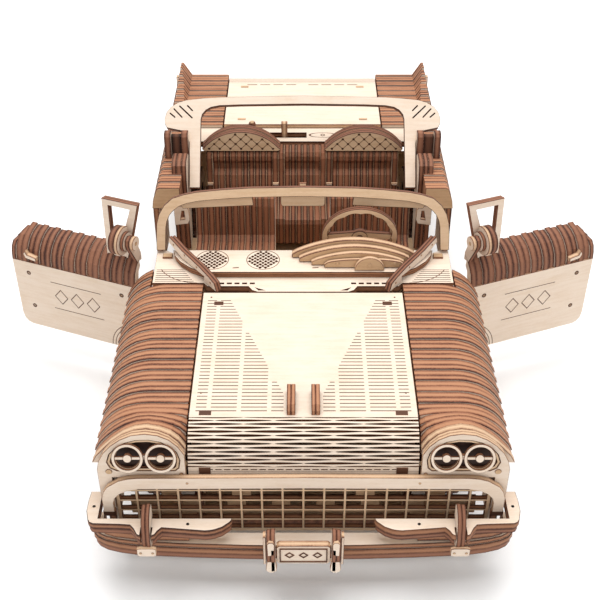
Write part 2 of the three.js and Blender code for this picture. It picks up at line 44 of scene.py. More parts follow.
MM = 0.001
DECK = 62.0
PLY = 3.0
HINGE_X = 70.3
HINGE_Y = -31.8
DOOR_OPEN = 69.0
FRONT_AXLE_Y = -93
REAR_AXLE_Y = 81
FENDER_PITCH = 2.93
LID_X = 39.7
FENDER_X = 40.4
NOSE_Y = -132.4
FENDER_END_Y = -32.4
QUARTER_Y = 30.2
TAIL_Y = 148
CAMERA_LENS = 62.88
CAMERA_PLACE = (-0.0012, -0.3852, 0.3148)
CAMERA_TILT = math.radians(52.5)
SIDES = (("left", 1), ("right", -1))

# ------------------------------------------------------------------------------------------------
# Materials


class Tree:
    """A short way to build a node material."""

    def __init__(self, name, roughness):
        self.material = bpy.data.materials.new(name)
        self.material.use_nodes = True
        self.tree = self.material.node_tree
        self.shader = self.tree.nodes["Principled BSDF"]
        self.shader.inputs["Roughness"].default_value = roughness
        self.shader.inputs["Specular IOR Level"].default_value = 0.25

    def feed(self, socket, value):
        if isinstance(value, bpy.types.NodeSocket):
            self.tree.links.new(value, socket)
        else:
            socket.default_value = value

    def node(self, kind, inputs=None, **settings):
        made = self.tree.nodes.new(kind)
        for key, value in settings.items():
            setattr(made, key, value)
        for key, value in (inputs or {}).items():
            self.feed(made.inputs[key], value)
        return made

    def uv(self, layer):
        return self.node("ShaderNodeUVMap", uv_map=layer).outputs[0]

    def split(self, vector):
        return self.node("ShaderNodeSeparateXYZ", {0: vector}).outputs

    def math(self, operation, a, b=0.0, c=0.0):
        return self.node("ShaderNodeMath", {0: a, 1: b, 2: c}, operation=operation).outputs[0]

    def noise(self, vector, scale, detail=4.0, stretch=(1, 1, 1), rough=0.55):
        mapped = self.node("ShaderNodeMapping", {"Vector": vector, "Scale": stretch}).outputs[0]
        return self.node("ShaderNodeTexNoise", {"Vector": mapped, "Scale": scale, "Detail": detail,
                                                "Roughness": rough}).outputs[0]

    def ramp(self, value, *stops):
        made = self.node("ShaderNodeValToRGB", {"Fac": value})
        elements = made.color_ramp.elements
        while len(elements) < len(stops):
            elements.new(0.5)
        for element, (place, colour) in zip(elements, stops):
            element.position = place
            element.color = (*colour, 1)
        return made.outputs[0]

    def mix(self, factor, a, b, blend="MIX"):
        made = self.node("ShaderNodeMix", {0: factor}, data_type="RGBA", blend_type=blend)
        for key, value in ((6, a), (7, b)):
            self.feed(made.inputs[key], (*value, 1) if isinstance(value, tuple) else value)
        return made.outputs[2]

    def finish(self, colour, height, strength, distance=0.0002, rough=None):
        bump = self.node("ShaderNodeBump", {"Height": height, "Strength": strength,
                                            "Distance": distance}).outputs[0]
        self.tree.links.new(colour, self.shader.inputs["Base Color"])
        self.tree.links.new(bump, self.shader.inputs["Normal"])
        if rough is not None:
            self.tree.links.new(rough, self.shader.inputs["Roughness"])
        return self.material


def wood_colours(t, grain_place, light, deep):
    """Fine stretched grain with slow changes of tone, shared by every plywood face."""
    fine = t.noise(grain_place, 5.0, 6.0, (1.2, 16.0, 4.0), 0.6)
    slow = t.noise(grain_place, 0.7, 2.0, (1.0, 1.7, 1.0))
    figure = t.noise(grain_place, 1.4, 3.0, (0.5, 5.0, 1.0), 0.5)
    mixed = t.math("ADD", t.math("MULTIPLY", fine, 0.45), t.math("MULTIPLY", figure, 0.35))
    mixed = t.math("ADD", mixed, t.math("MULTIPLY", slow, 0.25))
    return t.ramp(mixed, (0.36, deep), (0.58, light)), fine


def face_material(name, light, deep):
    """The flat face of a sheet."""
    t = Tree(name, 0.62)
    place = t.uv("ply")
    tone = t.split(t.uv("tone"))[0]
    colour, fine = wood_colours(t, place, light, deep)
    shade = t.math("MULTIPLY_ADD", tone, 0.10, 0.93)
    colour = t.mix(1.0, colour, t.node("ShaderNodeCombineColor", {0: shade, 1: shade, 2: shade}).outputs[0],
                   "MULTIPLY")
    rough = t.math("MULTIPLY_ADD", fine, 0.18, 0.5)
    return t.finish(colour, fine, 0.22, 0.00012, rough)


def edge_material(name, line, low, high, highlight_shift=0.0):
    """The burnt edge of a sheet: the veneers run along it, with scorch marks; each ply is painted lighter
    across its middle and darker at both faces, a painted highlight on the rounded ply and painted shade in
    the gaps between plies.
    """
    t = Tree(name, 0.7)
    place = t.uv("ply")
    across = t.split(place)[1]
    tone = t.split(t.uv("tone"))[0]
    # Painted highlight and painted shade: lightest across the middle of the ply, falling to the dark line
    # colour at both faces.
    centre = t.math("ABSOLUTE", t.math("SUBTRACT", across, 0.5 + highlight_shift))
    body = t.math("SUBTRACT", 1.0, t.math("MULTIPLY", centre, 2.0))
    scorch = t.noise(place, 3.0, 5.0, (6.0, 1.3, 1.0), 0.65)
    strip = t.noise(place, 1.1, 2.0, (0.9, 0.6, 1.0))
    body = t.math("ADD", body, t.math("MULTIPLY_ADD", scorch, 0.75, -0.38))
    body = t.math("ADD", body, t.math("MULTIPLY_ADD", strip, 0.55, -0.27))
    body = t.math("ADD", body, t.math("MULTIPLY_ADD", tone, 0.34, -0.17))
    colour = t.ramp(body, (0.06, line), (0.30, low), (0.78, high))
    veneer = t.math("PINGPONG", across, 0.34)
    seam = t.math("LESS_THAN", veneer, 0.028)
    colour = t.mix(t.math("MULTIPLY", seam, 0.35), colour, line)
    height = t.math("ADD", scorch, t.math("MULTIPLY", body, 0.5))
    rough = t.math("MULTIPLY_ADD", scorch, 0.25, 0.52)
    return t.finish(colour, height, 0.5, 0.0003, rough)


def object_material(name, axis, light, deep, line, high):
    """For CAD sheets that stay as they are: faces square to the axis are wood, the rest burnt edge."""
    t = Tree(name, 0.66)
    geometry = t.node("ShaderNodeTexCoord")
    place = t.node("ShaderNodeMapping", {"Vector": geometry.outputs["Object"],
                                         "Scale": (100, 100, 100)}).outputs[0]
    normal = t.split(geometry.outputs["Normal"])
    turned = {"x": (0, 1, 2), "y": (0, 2, 1), "z": (1, 0, 2)}[axis]
    split = t.split(place)
    grain = t.node("ShaderNodeCombineXYZ", {0: split[turned[1]], 1: split[turned[2]],
                                            2: split[turned[0]]}).outputs[0]
    flat, fine = wood_colours(t, grain, light, deep)
    scorch = t.noise(place, 5.0, 4.0, (1, 1, 1), 0.7)
    burnt = t.ramp(scorch, (0.32, line), (0.66, high))
    facing = t.math("ABSOLUTE", normal["xyz".index(axis)])
    chosen = t.math("GREATER_THAN", facing, 0.75)
    return t.finish(t.mix(chosen, burnt, flat), t.math("ADD", fine, scorch), 0.3, 0.0002)


LIGHT = (0.785, 0.650, 0.530)
DEEP = (0.70, 0.540, 0.400)
CREAM = face_material("birch_face", LIGHT, DEEP)
# Tan faces for peg and tab ends, and painted shade where it stands in for shaded cream on forward-facing
# sheets.
TAN_AND_SHADED = face_material("tan_and_shaded_face", (0.60, 0.40, 0.235), (0.45, 0.27, 0.145))
BURNT = edge_material("burnt_edge", (0.035, 0.012, 0.007), (0.13, 0.046, 0.022), (0.34, 0.155, 0.078))
# Painted light: a lighter copy of the burnt edge, for the top-facing fender edges where the light falls.
LIT_FENDER_EDGE = edge_material("lit_fender_edge", (0.046, 0.015, 0.009), (0.21, 0.076, 0.039), (0.45, 0.215, 0.115))
DOORS = edge_material("door_edge", (0.045, 0.015, 0.010), (0.125, 0.046, 0.026), (0.27, 0.118, 0.067))
SLATS = edge_material("slat_edge", (0.030, 0.010, 0.006), (0.105, 0.034, 0.016), (0.25, 0.098, 0.048))
WARM = edge_material("warm_edge", (0.13, 0.050, 0.028), (0.40, 0.225, 0.130), (0.64, 0.435, 0.275))
GLUE = edge_material("pale_veneer", (0.10, 0.040, 0.022), (0.26, 0.135, 0.075), (0.58, 0.38, 0.23))
TYRE = edge_material("tyre_edge", (0.014, 0.006, 0.004), (0.045, 0.017, 0.010), (0.115, 0.046, 0.025))
BURNT_FACE = face_material("engraving", (0.10, 0.038, 0.018), (0.055, 0.020, 0.010))
# Painted shade: birch cream darkened to its shaded tone, for the sheets that face forward.
SHADED_CREAM = face_material("shaded_cream_face", (0.72, 0.515, 0.335), (0.58, 0.380, 0.220))
# Painted shade: a near-black face for sheets set back behind openings.
RECESS_SHADE = face_material("painted_recess_shade", (0.040, 0.016, 0.010), (0.018, 0.008, 0.005))
MARK = {"face": BURNT_FACE, "edge": BURNT}

# ------------------------------------------------------------------------------------------------
# Placing: each takes (u, v, w) in mm, with u and v on the sheet and w through it


def level(u, v, w):
    return (u, v, w)


def across(u, v, w):
    return (u, w, v)


def along(u, v, w):
    return (w, u, v)


def mirrored(place, side):
    return lambda u, v, w: (lambda p: (side * p[0], p[1], p[2]))(place(u, v, w))


def moved(place, x=0, y=0, z=0):
    return lambda u, v, w: (lambda p: (p[0] + x, p[1] + y, p[2] + z))(place(u, v, w))


def leaned(place, degrees, y, z, x=0):
    """Tips a piece backwards about the X axis, then moves it."""
    c, s = math.cos(math.radians(degrees)), math.sin(math.radians(degrees))

    def put(u, v, w):
        px, py, pz = place(u, v, w)
        return (px + x, py * c + pz * s + y, -py * s + pz * c + z)
    return put


def door_place(place, side):
    """From the closed door's own frame (x inwards, s along it from the hinge, z) to the open door."""
    a = -side * math.radians(DOOR_OPEN)
    c, s = math.cos(a), math.sin(a)

    def put(u, v, w):
        inward, run, z = place(u, v, w)
        x = -side * inward
        return (side * HINGE_X + x * c - run * s, HINGE_Y + x * s + run * c, z)
    return put


# ------------------------------------------------------------------------------------------------
# Outlines


def arc(cx, cy, r, start, end, steps):
    return [(cx + r * math.cos(math.radians(start + (end - start) * i / steps)),
             cy + r * math.sin(math.radians(start + (end - start) * i / steps)))
            for i in range(steps + 1)]


def ring(cx, cy, r, steps=20, turn=0.0):
    return arc(cx, cy, r, turn, turn + 360 - 360 / steps, steps - 1)


def rect(x0, y0, x1, y1):
    return [(x0, y0), (x1, y0), (x1, y1), (x0, y1)]


def slot_line(x0, y0, x1, y1, width):
    """A thin cut from one point to another, as a narrow outline."""
    d = Vector((x1 - x0, y1 - y0)).normalized() * (width / 2)
    return [(x0 - d.x, y0 - d.y), (x0 + d.y, y0 - d.x), (x1 + d.y, y1 - d.x),
            (x1 + d.x, y1 + d.y), (x1 - d.y, y1 + d.x), (x0 - d.y, y0 + d.x)]


def both(half):
    """A half outline, given along the centre line end to end, mirrored into a whole one."""
    return half + [(-x, y) for x, y in reversed(half) if abs(x) > 1e-6]


def mirror_frame(outer, inner):
    """An arched frame: the outer half ends and the inner half starts on the centre line."""
    return (outer + [(-x, z) for x, z in reversed(outer[:-1])]
            + [(-x, z) for x, z in reversed(inner)] + inner[1:])


def area(loop):
    return sum(a[0] * b[1] - b[0] * a[1] for a, b in zip(loop, loop[1:] + loop[:1])) / 2


def ccw(loop):
    return list(loop) if area(loop) > 0 else list(reversed(loop))


def inset(loop, by):
    """Moves each point of a counter-clockwise loop inwards by a mitre offset."""
    out = []
    for before, here, after in zip(loop[-1:] + loop[:-1], loop, loop[1:] + loop[:1]):
        a = Vector((here[0] - before[0], here[1] - before[1]))
        b = Vector((after[0] - here[0], after[1] - here[1]))
        if a.length < 1e-9 or b.length < 1e-9:
            out.append(here)
            continue
        na, nb = Vector((-a.y, a.x)).normalized(), Vector((-b.y, b.x)).normalized()
        n = na + nb
        if n.length < 1e-6:
            out.append(here)
            continue
        n.normalize()
        reach = by / max(0.45, n.dot(na))
        out.append((here[0] + n.x * reach, here[1] + n.y * reach))
    return out


# ------------------------------------------------------------------------------------------------
# Plywood


class Stack:
    """Plywood sheets gathered into one mesh: each has two faces, softened corners and a burnt edge."""

    def __init__(self, name, face=None, edge=None):
        self.name = name
        self.materials = [face or CREAM, edge or BURNT]
        self.points, self.faces, self.slots, self.uvs, self.tones = [], [], [], [], []

    def material(self, material):
        if material not in self.materials:
            self.materials.append(material)
        return self.materials.index(material)

    def ply(self, outline, w0, w1, place, holes=(), soft=0.14, face=None, edge=None, tone=None):
        """One sheet from w0 to w1 through the placing."""
        if w1 < w0:
            w0, w1 = w1, w0
        face = 0 if face is None else self.material(face)
        edge = 1 if edge is None else self.material(edge)
        tone = rng.random() if tone is None else tone
        shift = (rng.uniform(0, 40), rng.uniform(0, 40))
        loops = [ccw(outline)]
        loops += [ccw(h)[::-1] for h in holes]
        inner = [inset(loop, soft) for loop in loops]
        u, v = loops[0][0]
        origin = Vector(place(u, v, w0))
        du, dv = Vector(place(u + 0.01, v, w0)) - origin, Vector(place(u, v + 0.01, w0)) - origin
        flip = du.cross(dv).dot(Vector(place(u, v, w0 + 0.01)) - origin) < 0
        rings = []
        for flat, w in ((inner, w0), (loops, w0 + soft), (loops, w1 - soft), (inner, w1)):
            start = len(self.points)
            for loop in flat:
                self.points += [Vector(place(a, b, w)) * MM for a, b in loop]
            rings.append(start)
        count = sum(len(loop) for loop in loops)
        triangles = tessellate_polygon([[Vector((a, b, 0)) for a, b in loop] for loop in inner])
        flat = [p for loop in inner for p in loop]
        for start, up in ((rings[0], False), (rings[3], True)):
            for tri in triangles:
                a, b, c = (flat[i] for i in tri)
                turn = (b[0] - a[0]) * (c[1] - a[1]) - (b[1] - a[1]) * (c[0] - a[0])
                order = tri if (turn > 0) == up else tuple(reversed(tri))
                order = tuple(reversed(order)) if flip else order
                self.face([start + i for i in order], face,
                          [(flat[i][0] / 10 + shift[0], flat[i][1] / 10 + shift[1]) for i in order], tone)
        thick = max(w1 - w0, 1e-6)
        heights = (0.0, soft / thick, 1 - soft / thick, 1.0)
        base = 0
        for loop in loops:
            run, lengths = shift[0], []
            for a, b in zip(loop, loop[1:] + loop[:1]):
                lengths.append(run)
                run += math.hypot(b[0] - a[0], b[1] - a[1]) / 10
            lengths.append(run)
            for i in range(len(loop)):
                j = (i + 1) % len(loop)
                for k in range(3):
                    quad = [rings[k] + base + i, rings[k] + base + j,
                            rings[k + 1] + base + j, rings[k + 1] + base + i]
                    uv = [(lengths[i], heights[k]), (lengths[i + 1], heights[k]),
                          (lengths[i + 1], heights[k + 1]), (lengths[i], heights[k + 1])]
                    if flip:
                        quad.reverse()
                        uv.reverse()
                    self.face(quad, edge, uv, tone)
            base += len(loop)
        assert base == count
        return self

    def face(self, indices, slot, uv, tone):
        self.faces.append(indices)
        self.slots.append(slot)
        self.uvs += uv
        self.tones += [tone] * len(indices)

    def plies(self, outline, w0, w1, place, count=None, step=0.4, **more):
        """A run of equal sheets, every other one a little smaller."""
        count = count or max(1, round(abs(w1 - w0) / PLY))
        loop = ccw(outline)
        for i in range(count):
            a, b = w0 + (w1 - w0) * i / count, w0 + (w1 - w0) * (i + 1) / count
            self.ply(inset(loop, step) if i % 2 else loop, a, b, place, **more)
        return self

    def build(self, body="chassis", nodes=()):
        mesh = bpy.data.meshes.new(self.name)
        mesh.from_pydata([tuple(p) for p in self.points], [], self.faces)
        for material in self.materials:
            mesh.materials.append(material)
        mesh.polygons.foreach_set("material_index", self.slots)
        ply = mesh.uv_layers.new(name="ply")
        ply.data.foreach_set("uv", [x for uv in self.uvs for x in uv])
        tone = mesh.uv_layers.new(name="tone")
        tone.data.foreach_set("uv", [x for t in self.tones for x in (t, t)])
        mesh.validate()
        mesh.update()
        made = bpy.data.objects.new(self.name, mesh)
        bpy.context.scene.collection.objects.link(made)
        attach(made, body)
        if nodes:
            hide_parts(*nodes)
        return made


def peg(stack, u, v, w, place, r=0.9, out=0.35, outward=-1):
    """The end of a round peg standing just proud of a sheet."""
    stack.ply(ring(u, v, r, 10), w, w + outward * out, place, soft=0.1, face=TAN_AND_SHADED)


def engrave(stack, outline, place, holes=()):
    """A burnt line in the outer face of a sheet, standing proud by a hair so that it is real geometry."""
    stack.ply(outline, -0.03, 0.02, place, holes=holes, soft=0.01, **MARK)


# ------------------------------------------------------------------------------------------------
# Front fenders, sides and rear fenders


def height_at(profile, x):
    for (xa, za), (xb, zb) in zip(profile, profile[1:]):
        if x <= xb:
            return za + (zb - za) * (x - xa) / (xb - xa)
    return profile[-1][1]


FENDER_TOP = ((FENDER_X, 62), (55, 62), (58, 61.8), (60.6, 61.2), (63.2, 60.3), (65.6, 58.9), (67.9, 57.1),
              (69.8, 55), (71.4, 52.7), (73, 50))
NOSE_TOP = ((FENDER_X, 56.5), (42.4, 60.4), (45, 63.2), (48.6, 65.2), (53, 66.3), (57, 65.6), (61, 63.6),
            (65, 60.4), (68.6, 56.6), (71.4, 53.2), (73, 50))


def fender_section(start, small=0.0, nose=0.0):
    """One fender ply: its flat top and falling outer edge, rising to the headlight arch at the nose."""
    xs = [x for x in (FENDER_X, 42.4, 45, 48.6, 53, 55, 57, 58.6, 61, 63.2, 65.6, 67.9, 69.8, 71.4,
                      73) if x > start]
    outer = [(x - small * (0.8 if x > 60 else 0.3) * (x > start),
              height_at(FENDER_TOP, x) * (1 - nose) + height_at(NOSE_TOP, x) * nose - small * 0.8 * (x < 73))
             for x in [start] + xs]
    inner = [(67.4, 50), (66.4, 53.4), (63.8, 56.4), (59, 58.4), (54, 58.8), (48, 58.8), (42.4, 58.8),
             (FENDER_X, 58.8)]
    inner = [(x, min(z, height_at(outer, x) - 2.4)) for x,
             z in inner if x > start] + [(start, outer[0][1] - 3.0)]
    return outer + inner


def front_fenders():
    for name, side in SIDES:
        stack = Stack(f"{name}_fender_plies", edge=LIT_FENDER_EDGE)
        put = mirrored(across, side)
        y = NOSE_Y
        i = 0
        while y < -45.5:
            nose = (1.0, 0.85, 0.6, 0.35, 0.15, 0.04)[i] if i < 6 else 0.0
            section = fender_section(FENDER_X, 0.5 if i % 2 else 0.0, nose)
            stack.ply(section, y, y + FENDER_PITCH, put, soft=0.2, edge=WARM if i == 0 else None)
            y += FENDER_PITCH
            i += 1
        for k in range(4):
            start = -44.5 + 3 * k
            stack.ply(fender_section(61.9, 0.5 if k % 2 else 0.0), start, start + 2.96, put, soft=0.2)
        stack.build(nodes=[f"{name}_front_fender"])


def side_outline(y0, y1, axle):
    drop = math.degrees(math.asin((20 - 16.3) / 24))
    return ([(y0, 16.3)] + arc(axle, 20, 24, 180 + drop, -drop, 28) + [(y1, 16.3), (y1, 49.7), (y0, 49.7)])


def flat_sides():
    for name, side in SIDES:
        put = mirrored(along, side)
        for part, y0, y1, axle in (("front", NOSE_Y, FENDER_END_Y, FRONT_AXLE_Y),
                                   ("rear", QUARTER_Y, TAIL_Y, REAR_AXLE_Y)):
            stack = Stack(f"{name}_{part}_flank")
            outline = side_outline(y0, y1, axle)
            holes = [slot_line(y, 46.8, y + 5.5, 46.8, 0.7)
                     for y in [y0 + 4 + 9 * n for n in range(int((y1 - y0 - 8) // 9) + 1)] if y + 6 < y1]
            ends = [(y0 + 5, 24), (y1 - 5, 24), (y0 + 5, 40), (y1 - 5, 40)]
            stack.ply(outline, 67.3, 70.0, put, holes=holes)
            trim = arc(axle, 20, 27.4, 172, 8, 30) + arc(axle, 20, 24.6, 8, 172, 30)
            stack.ply(trim, 69.9, 70.3, put, soft=0.1, edge=BURNT)
            for y, z in ends:
                peg(stack, y, z, 69.9, put, outward=1)
            stack.build(nodes=[f"{name}_{part}_side"])


def crest(y):
    table = ((QUARTER_Y, 61.0), (90.6, 62.4), (110, 64.0), (128, 66.4), (146.5, 70.4), (148.5, 68.0))
    for (a, za), (b, zb) in zip(table, table[1:]):
        if y <= b:
            return za + (zb - za) * max(0.0, y - a) / (b - a)
    return table[-1][1]


def rear_section(y, small):
    top = crest(y) - small
    side_x = 70.3 - small
    wall = [(side_x, 50), (side_x - 0.5, 54), (side_x - 1.9, 58.4)]
    if top <= 62.0:
        return [(57, 50)] + wall + [(side_x - 2.7, min(top, 60.4)), (side_x - 4, top), (57, top)]
    rise = (top - 62) / 8.6
    fin = [(side_x - 3.3 - 1.2 * rise, top), (60.4 + 5.3 * rise, top)]
    body = [(57, 50)] + wall + [(side_x - 3.3, 62)] + fin
    if y >= 90.6:
        return body + [(60.4, 62 - small), (FENDER_X, 62 - small), (FENDER_X, 56), (57, 56)]
    return body + [(57, 62 - small)]


def rear_fenders():
    for name, side in SIDES:
        stack = Stack(f"{name}_quarter_plies", edge=LIT_FENDER_EDGE)
        put = mirrored(across, side)
        y = 30.2
        i = 0
        while y < 147.5:
            step = 2.95 if y < 90.6 - 3 or y >= 90.6 else max(1.5, 90.6 - y)
            step = min(step, 148.5 - y)
            # The first two plies' forward faces are tan as painted shade.
            stack.ply(rear_section(y + step / 2, 0.45 if i % 2 else 0.0), y, y + step - 0.02, put, soft=0.18,
                      face=TAN_AND_SHADED if i < 2 else None)
            y += step
            i += 1
        stack.build(nodes=[f"{name}_rear_fender"])


# ------------------------------------------------------------------------------------------------
# Nose


ARCH = ((FENDER_X, 46.2), (66, 46.2), (66, 31), (70.8, 31), (70.8, 50), (69.9, 54), (68, 57.8), (65, 61.4),
        (61.6, 64.2), (57.6, 66.3), (53, 67), (48.8, 66.2), (45.2, 64.2), (42.4, 61), (FENDER_X, 57))
LAMP_HOLE = ((42.6, 50.8), (44, 49.4), (64, 49.4), (66.2, 50.8), (67.2, 53.6), (66, 57.4), (63.4, 60.6),
             (60, 62.9), (56.4, 64.1), (52, 64.3), (48, 63.3), (45, 61.2), (42.8, 58.2), (42, 54.6))
LAMP_Z = 57.7


def headlights():
    for name, side in SIDES:
        put = mirrored(across, side)
        stack = Stack(f"{name}_lamp_panel")
        stack.ply(ARCH, -135.7, -134.2, put, holes=[LAMP_HOLE], edge=WARM)
        # A dark sheet behind the lamp opening: painted shade.
        stack.ply(inset(list(ARCH), 0.3), -134.15, -132.7, put, face=RECESS_SHADE, edge=WARM)
        rim = inset(list(LAMP_HOLE), 0.15)
        stack.ply(rim, -135.5, -134.1, put, holes=[inset(rim, 1.0)], face=SHADED_CREAM, edge=BURNT)
        peg(stack, 66.8, 49.2, -135.7, put, r=1.2, out=0.3)
        peg(stack, 42.0, 48.0, -135.7, put, r=0.7)
        peg(stack, 68.4, 35, -135.7, put, r=0.7)
        stack.build(nodes=[f"{name}_headlight_panel"])

        lamps = Stack(f"{name}_lamp_rings", edge=BURNT)
        for x in (59.4, 48.2):
            lean = mirrored(leaned(across, 19, -138.0, LAMP_Z, x), side)
            lamps.ply(ring(0, 0, 5.4, 30), 0, 1.1, lean, holes=[ring(0, 0, 4.3, 26)])
            lamps.ply(ring(0, 0, 5.0, 30), 1.15, 2.1, lean, holes=[ring(0, 0, 4.0, 26)], face=SHADED_CREAM)
            lamps.ply(rect(-4.5, -0.5, 4.5, 0.5), 0.3, 1.3, lean, soft=0.08)
            lamps.ply(ring(0, 0, 1.5, 18), 0, 1.8, lean)
        lamps.ply(rect(52.8, LAMP_Z - 1, 54.8, LAMP_Z + 1), -137.4, -136.2, put)
        lamps.build(nodes=[f"{name}_headlights"])


def grille():
    outer = [(70.2, 31), (70.2, 38), (69.4, 41), (67.8, 43.6), (63.6, 46.6), (60.4, 47.6), (57, 48),
             (0, 48.4)]
    mouth = [(0, 43), (57, 42.6), (61, 41.8), (64, 40), (65.8, 37.8), (66.4, 35.6), (66.4, 31)]
    loop = mirror_frame(outer, mouth)
    stack = Stack("grille_surround", edge=WARM)
    stack.ply(loop, -137.9, -136, across)
    for _, side in SIDES:
        peg(stack, side * 40, 45.6, -137.9, across, r=0.5, out=0.1)
        foot = rect(side * 68.3 - 2.2, 28.6, side * 68.3 + 2.2, 31)
        stack.ply(foot, -137.7, -136, across, **MARK)
    stack.build(nodes=["grille_frame"])

    lattice = Stack("grille_mesh", face=SHADED_CREAM, edge=BURNT)
    pitch = 7.3
    holes = []
    for column in range(-9, 9):
        for row in range(5):
            x = (column + 0.5) * pitch
            if row == 4 and abs(x) > 60:
                continue
            z = 20.1 + 5 * row
            holes.append(rect(max(x - 3.2, -64.4), z, min(x + 3.2, 64.4), min(z + 4.1, 43.2)))
    lattice.ply(both([(0, 18.4), (65.7, 18.4), (65.7, 38.5), (62.5, 43.6), (0, 45.4)]), -135.7, -133.7,
                across, holes=holes, soft=0.1)
    lattice.build(nodes=["grille_lattice"])

    behind = Stack("grille_backing", face=RECESS_SHADE, edge=BURNT)
    behind.ply(both([(0, 22), (62, 22), (62, 30), (0, 30)]), -130.4, -128.6, across,
               holes=[rect(x - 4.5, 24.4, x + 4.5, 28.4) for x in range(-48, 49, 16)], face=TAN_AND_SHADED)
    for x in (-47, -22, 22, 47):
        behind.ply(rect(x - 3.5, 31, x + 3.5, 41), -131.6, -129.8, across, face=TAN_AND_SHADED)
    # The back sheet's near-black face is painted shade behind the lattice.
    behind.ply(both([(0, 30.4), (62, 30.4), (60, 42), (0, 44)]), -127.9, -126.6, across, edge=SLATS)
    behind.build()


def front_bumper():
    base = both([(0, -147), (20, -146.7), (40, -146), (58, -145), (65, -143.9), (70, -142.5), (73, -140.8),
                 (74.8, -138.6), (75.4, -136), (75.4, -131), (71.4, -131), (71.4, -139.4), (62, -139.4),
                 (50, -140.6), (0, -140.6)])
    base = ccw(base)
    stack = Stack("front_bumper_plies", edge=DOORS)
    stack.ply(inset(base, 0.5), 15.4, 18.3, level, soft=0.2)
    stack.ply(base, 18.35, 21.3, level, soft=0.2, edge=BURNT)
    stack.ply(inset(base, 0.2), 21.35, 23.5, level, soft=0.14, edge=BURNT)
    stack.build(nodes=["front_bumper"])
    for name, side in SIDES:
        wing = [(24.8, -142.4), (24.9, -143.2), (25.6, -144.2), (28, -146.3), (30.4, -147.4), (32, -147.8),
                (34, -148), (48.9, -146.6), (50.2, -148.0), (51, -149.6), (52.2, -150.2), (52.2, -146.6),
                (56, -146.6), (56, -150.2), (57.2, -149.6), (58.6, -147.0), (60, -145.4), (64, -145.1),
                (72.9, -144.8), (74.2, -144.2), (75, -143), (76, -139), (76, -134), (75.6, -130),
                (71.4, -130), (71.4, -142.4)]
        wing = ccw(wing)
        post = [(40, -145), (57, -144.6), (66, -143.4), (70, -142), (71.4, -140), (71.4, -139.4),
                (40, -139.4)]
        put = mirrored(level, side)
        top = Stack(f"{name}_bumper_wing_plies", edge=DOORS)
        top.ply(post, 23.8, 27.4, put, soft=0.2, edge=BURNT)
        top.ply(inset(wing, 0.35), 27.5, 30.1, put, soft=0.2, edge=DOORS)
        top.ply(wing, 30.2, 32.9, put, soft=0.2, edge=BURNT)
        for x, y in ((73.6, -137), (40, -145)):
            peg(top, x, y, 32.8, put, outward=1, r=0.7, out=0.1)
        top.build(nodes=[f"{name}_bumper_wing"])

        strap = Stack(f"{name}_overrider_strap", edge=DOORS)
        side_put = mirrored(along, side)
        blade = [(-147, 25.4), (-147, 33.2), (-141.2, 33.2), (-140.9, 38), (-141.3, 39.2), (-142.4, 40),
                 (-144.6, 39.8), (-146.2, 39), (-147.4, 38), (-148.6, 36.4), (-149.4, 34.6), (-150.6, 30.4),
                 (-150.8, 27), (-149.8, 25.4)]
        blade = ccw(blade)
        strap.ply(blade, 52.6, 54.1, side_put, soft=0.2)
        strap.ply(inset(blade, 0.25), 54.1, 55.6, side_put, soft=0.2)
        strap.ply([(50.8, 24.2), (51.6, 23.6), (56.6, 23.6), (57.4, 24.2), (57.4, 27.2), (56.4, 27.6),
                   (51.8, 27.6), (50.8, 27.2)], -151.6, -150.2, mirrored(across, side), edge=WARM)
        for x in (52, 56.2):
            peg(strap, x, 25.4, -151.6, mirrored(across, side), r=0.5, out=0.2)
        strap.build(nodes=[f"{name}_overrider"])

    plate = Stack("plate_holder", edge=DOORS)
    for _, side in SIDES:
        guard = [(-155, 20), (-154.6, 19), (-153.5, 18.4), (-147.4, 18.4), (-147.4, 33.5), (-150.5, 36.5),
                 (-152.6, 36), (-154, 35), (-154.6, 33.4), (-155, 31)]
        guard = ccw(guard)
        plate.ply(guard, 9.7, 11.2, mirrored(along, side), soft=0.2)
        plate.ply(inset(guard, 0.3), 11.2, 12.7, mirrored(along, side), soft=0.2)
        front = mirrored(across, side)
        plate.ply([(10, 28.4), (12.2, 28), (12.4, 33.8), (11.8, 34.8), (10.4, 34.8), (9.9, 33.8)], -155,
                  -153.6, front, edge=WARM)
        plate.ply([(9.6, 25)] + arc(11.05, 21, 1.9, 170, 370, 12) + [(12.5, 25)], -155, -153.4, front,
                  edge=WARM)
        plate.ply(rect(13.0, 19.4, 13.9, 33.6), -151.6, -148.6, front, edge=WARM)
    plate.ply(rect(-10, 19.4, 10, 21.4), -150.4, -147.4, across)
    plate.build(nodes=["plate_bracket"])
    number = Stack("blank_plate", edge=WARM)
    number.ply([(-9.2, 22.7), (-8.4, 21.9), (8.4, 21.9), (9.2, 22.7), (9.2, 30.2), (8.4, 31), (-8.4, 31),
                (-9.2, 30.2)], -153.2, -150.6, across)
    number.ply(rect(-8.2, 22.9, 8.2, 30), -153.6, -153.2, across, holes=[rect(-7.8, 23.3, 7.8, 29.6)],
               soft=0.05, **MARK)
    for x in (-4.8, 0, 4.8):
        number.ply([(x - 1.7, 26.45), (x, 24.9), (x + 1.7, 26.45), (x, 28)], -153.45, -153.1, across,
                   soft=0.05, holes=[[(x - 1.1, 26.45), (x, 25.5), (x + 1.1, 26.45), (x, 27.4)]], **MARK)
    number.build(nodes=["number_plate"])


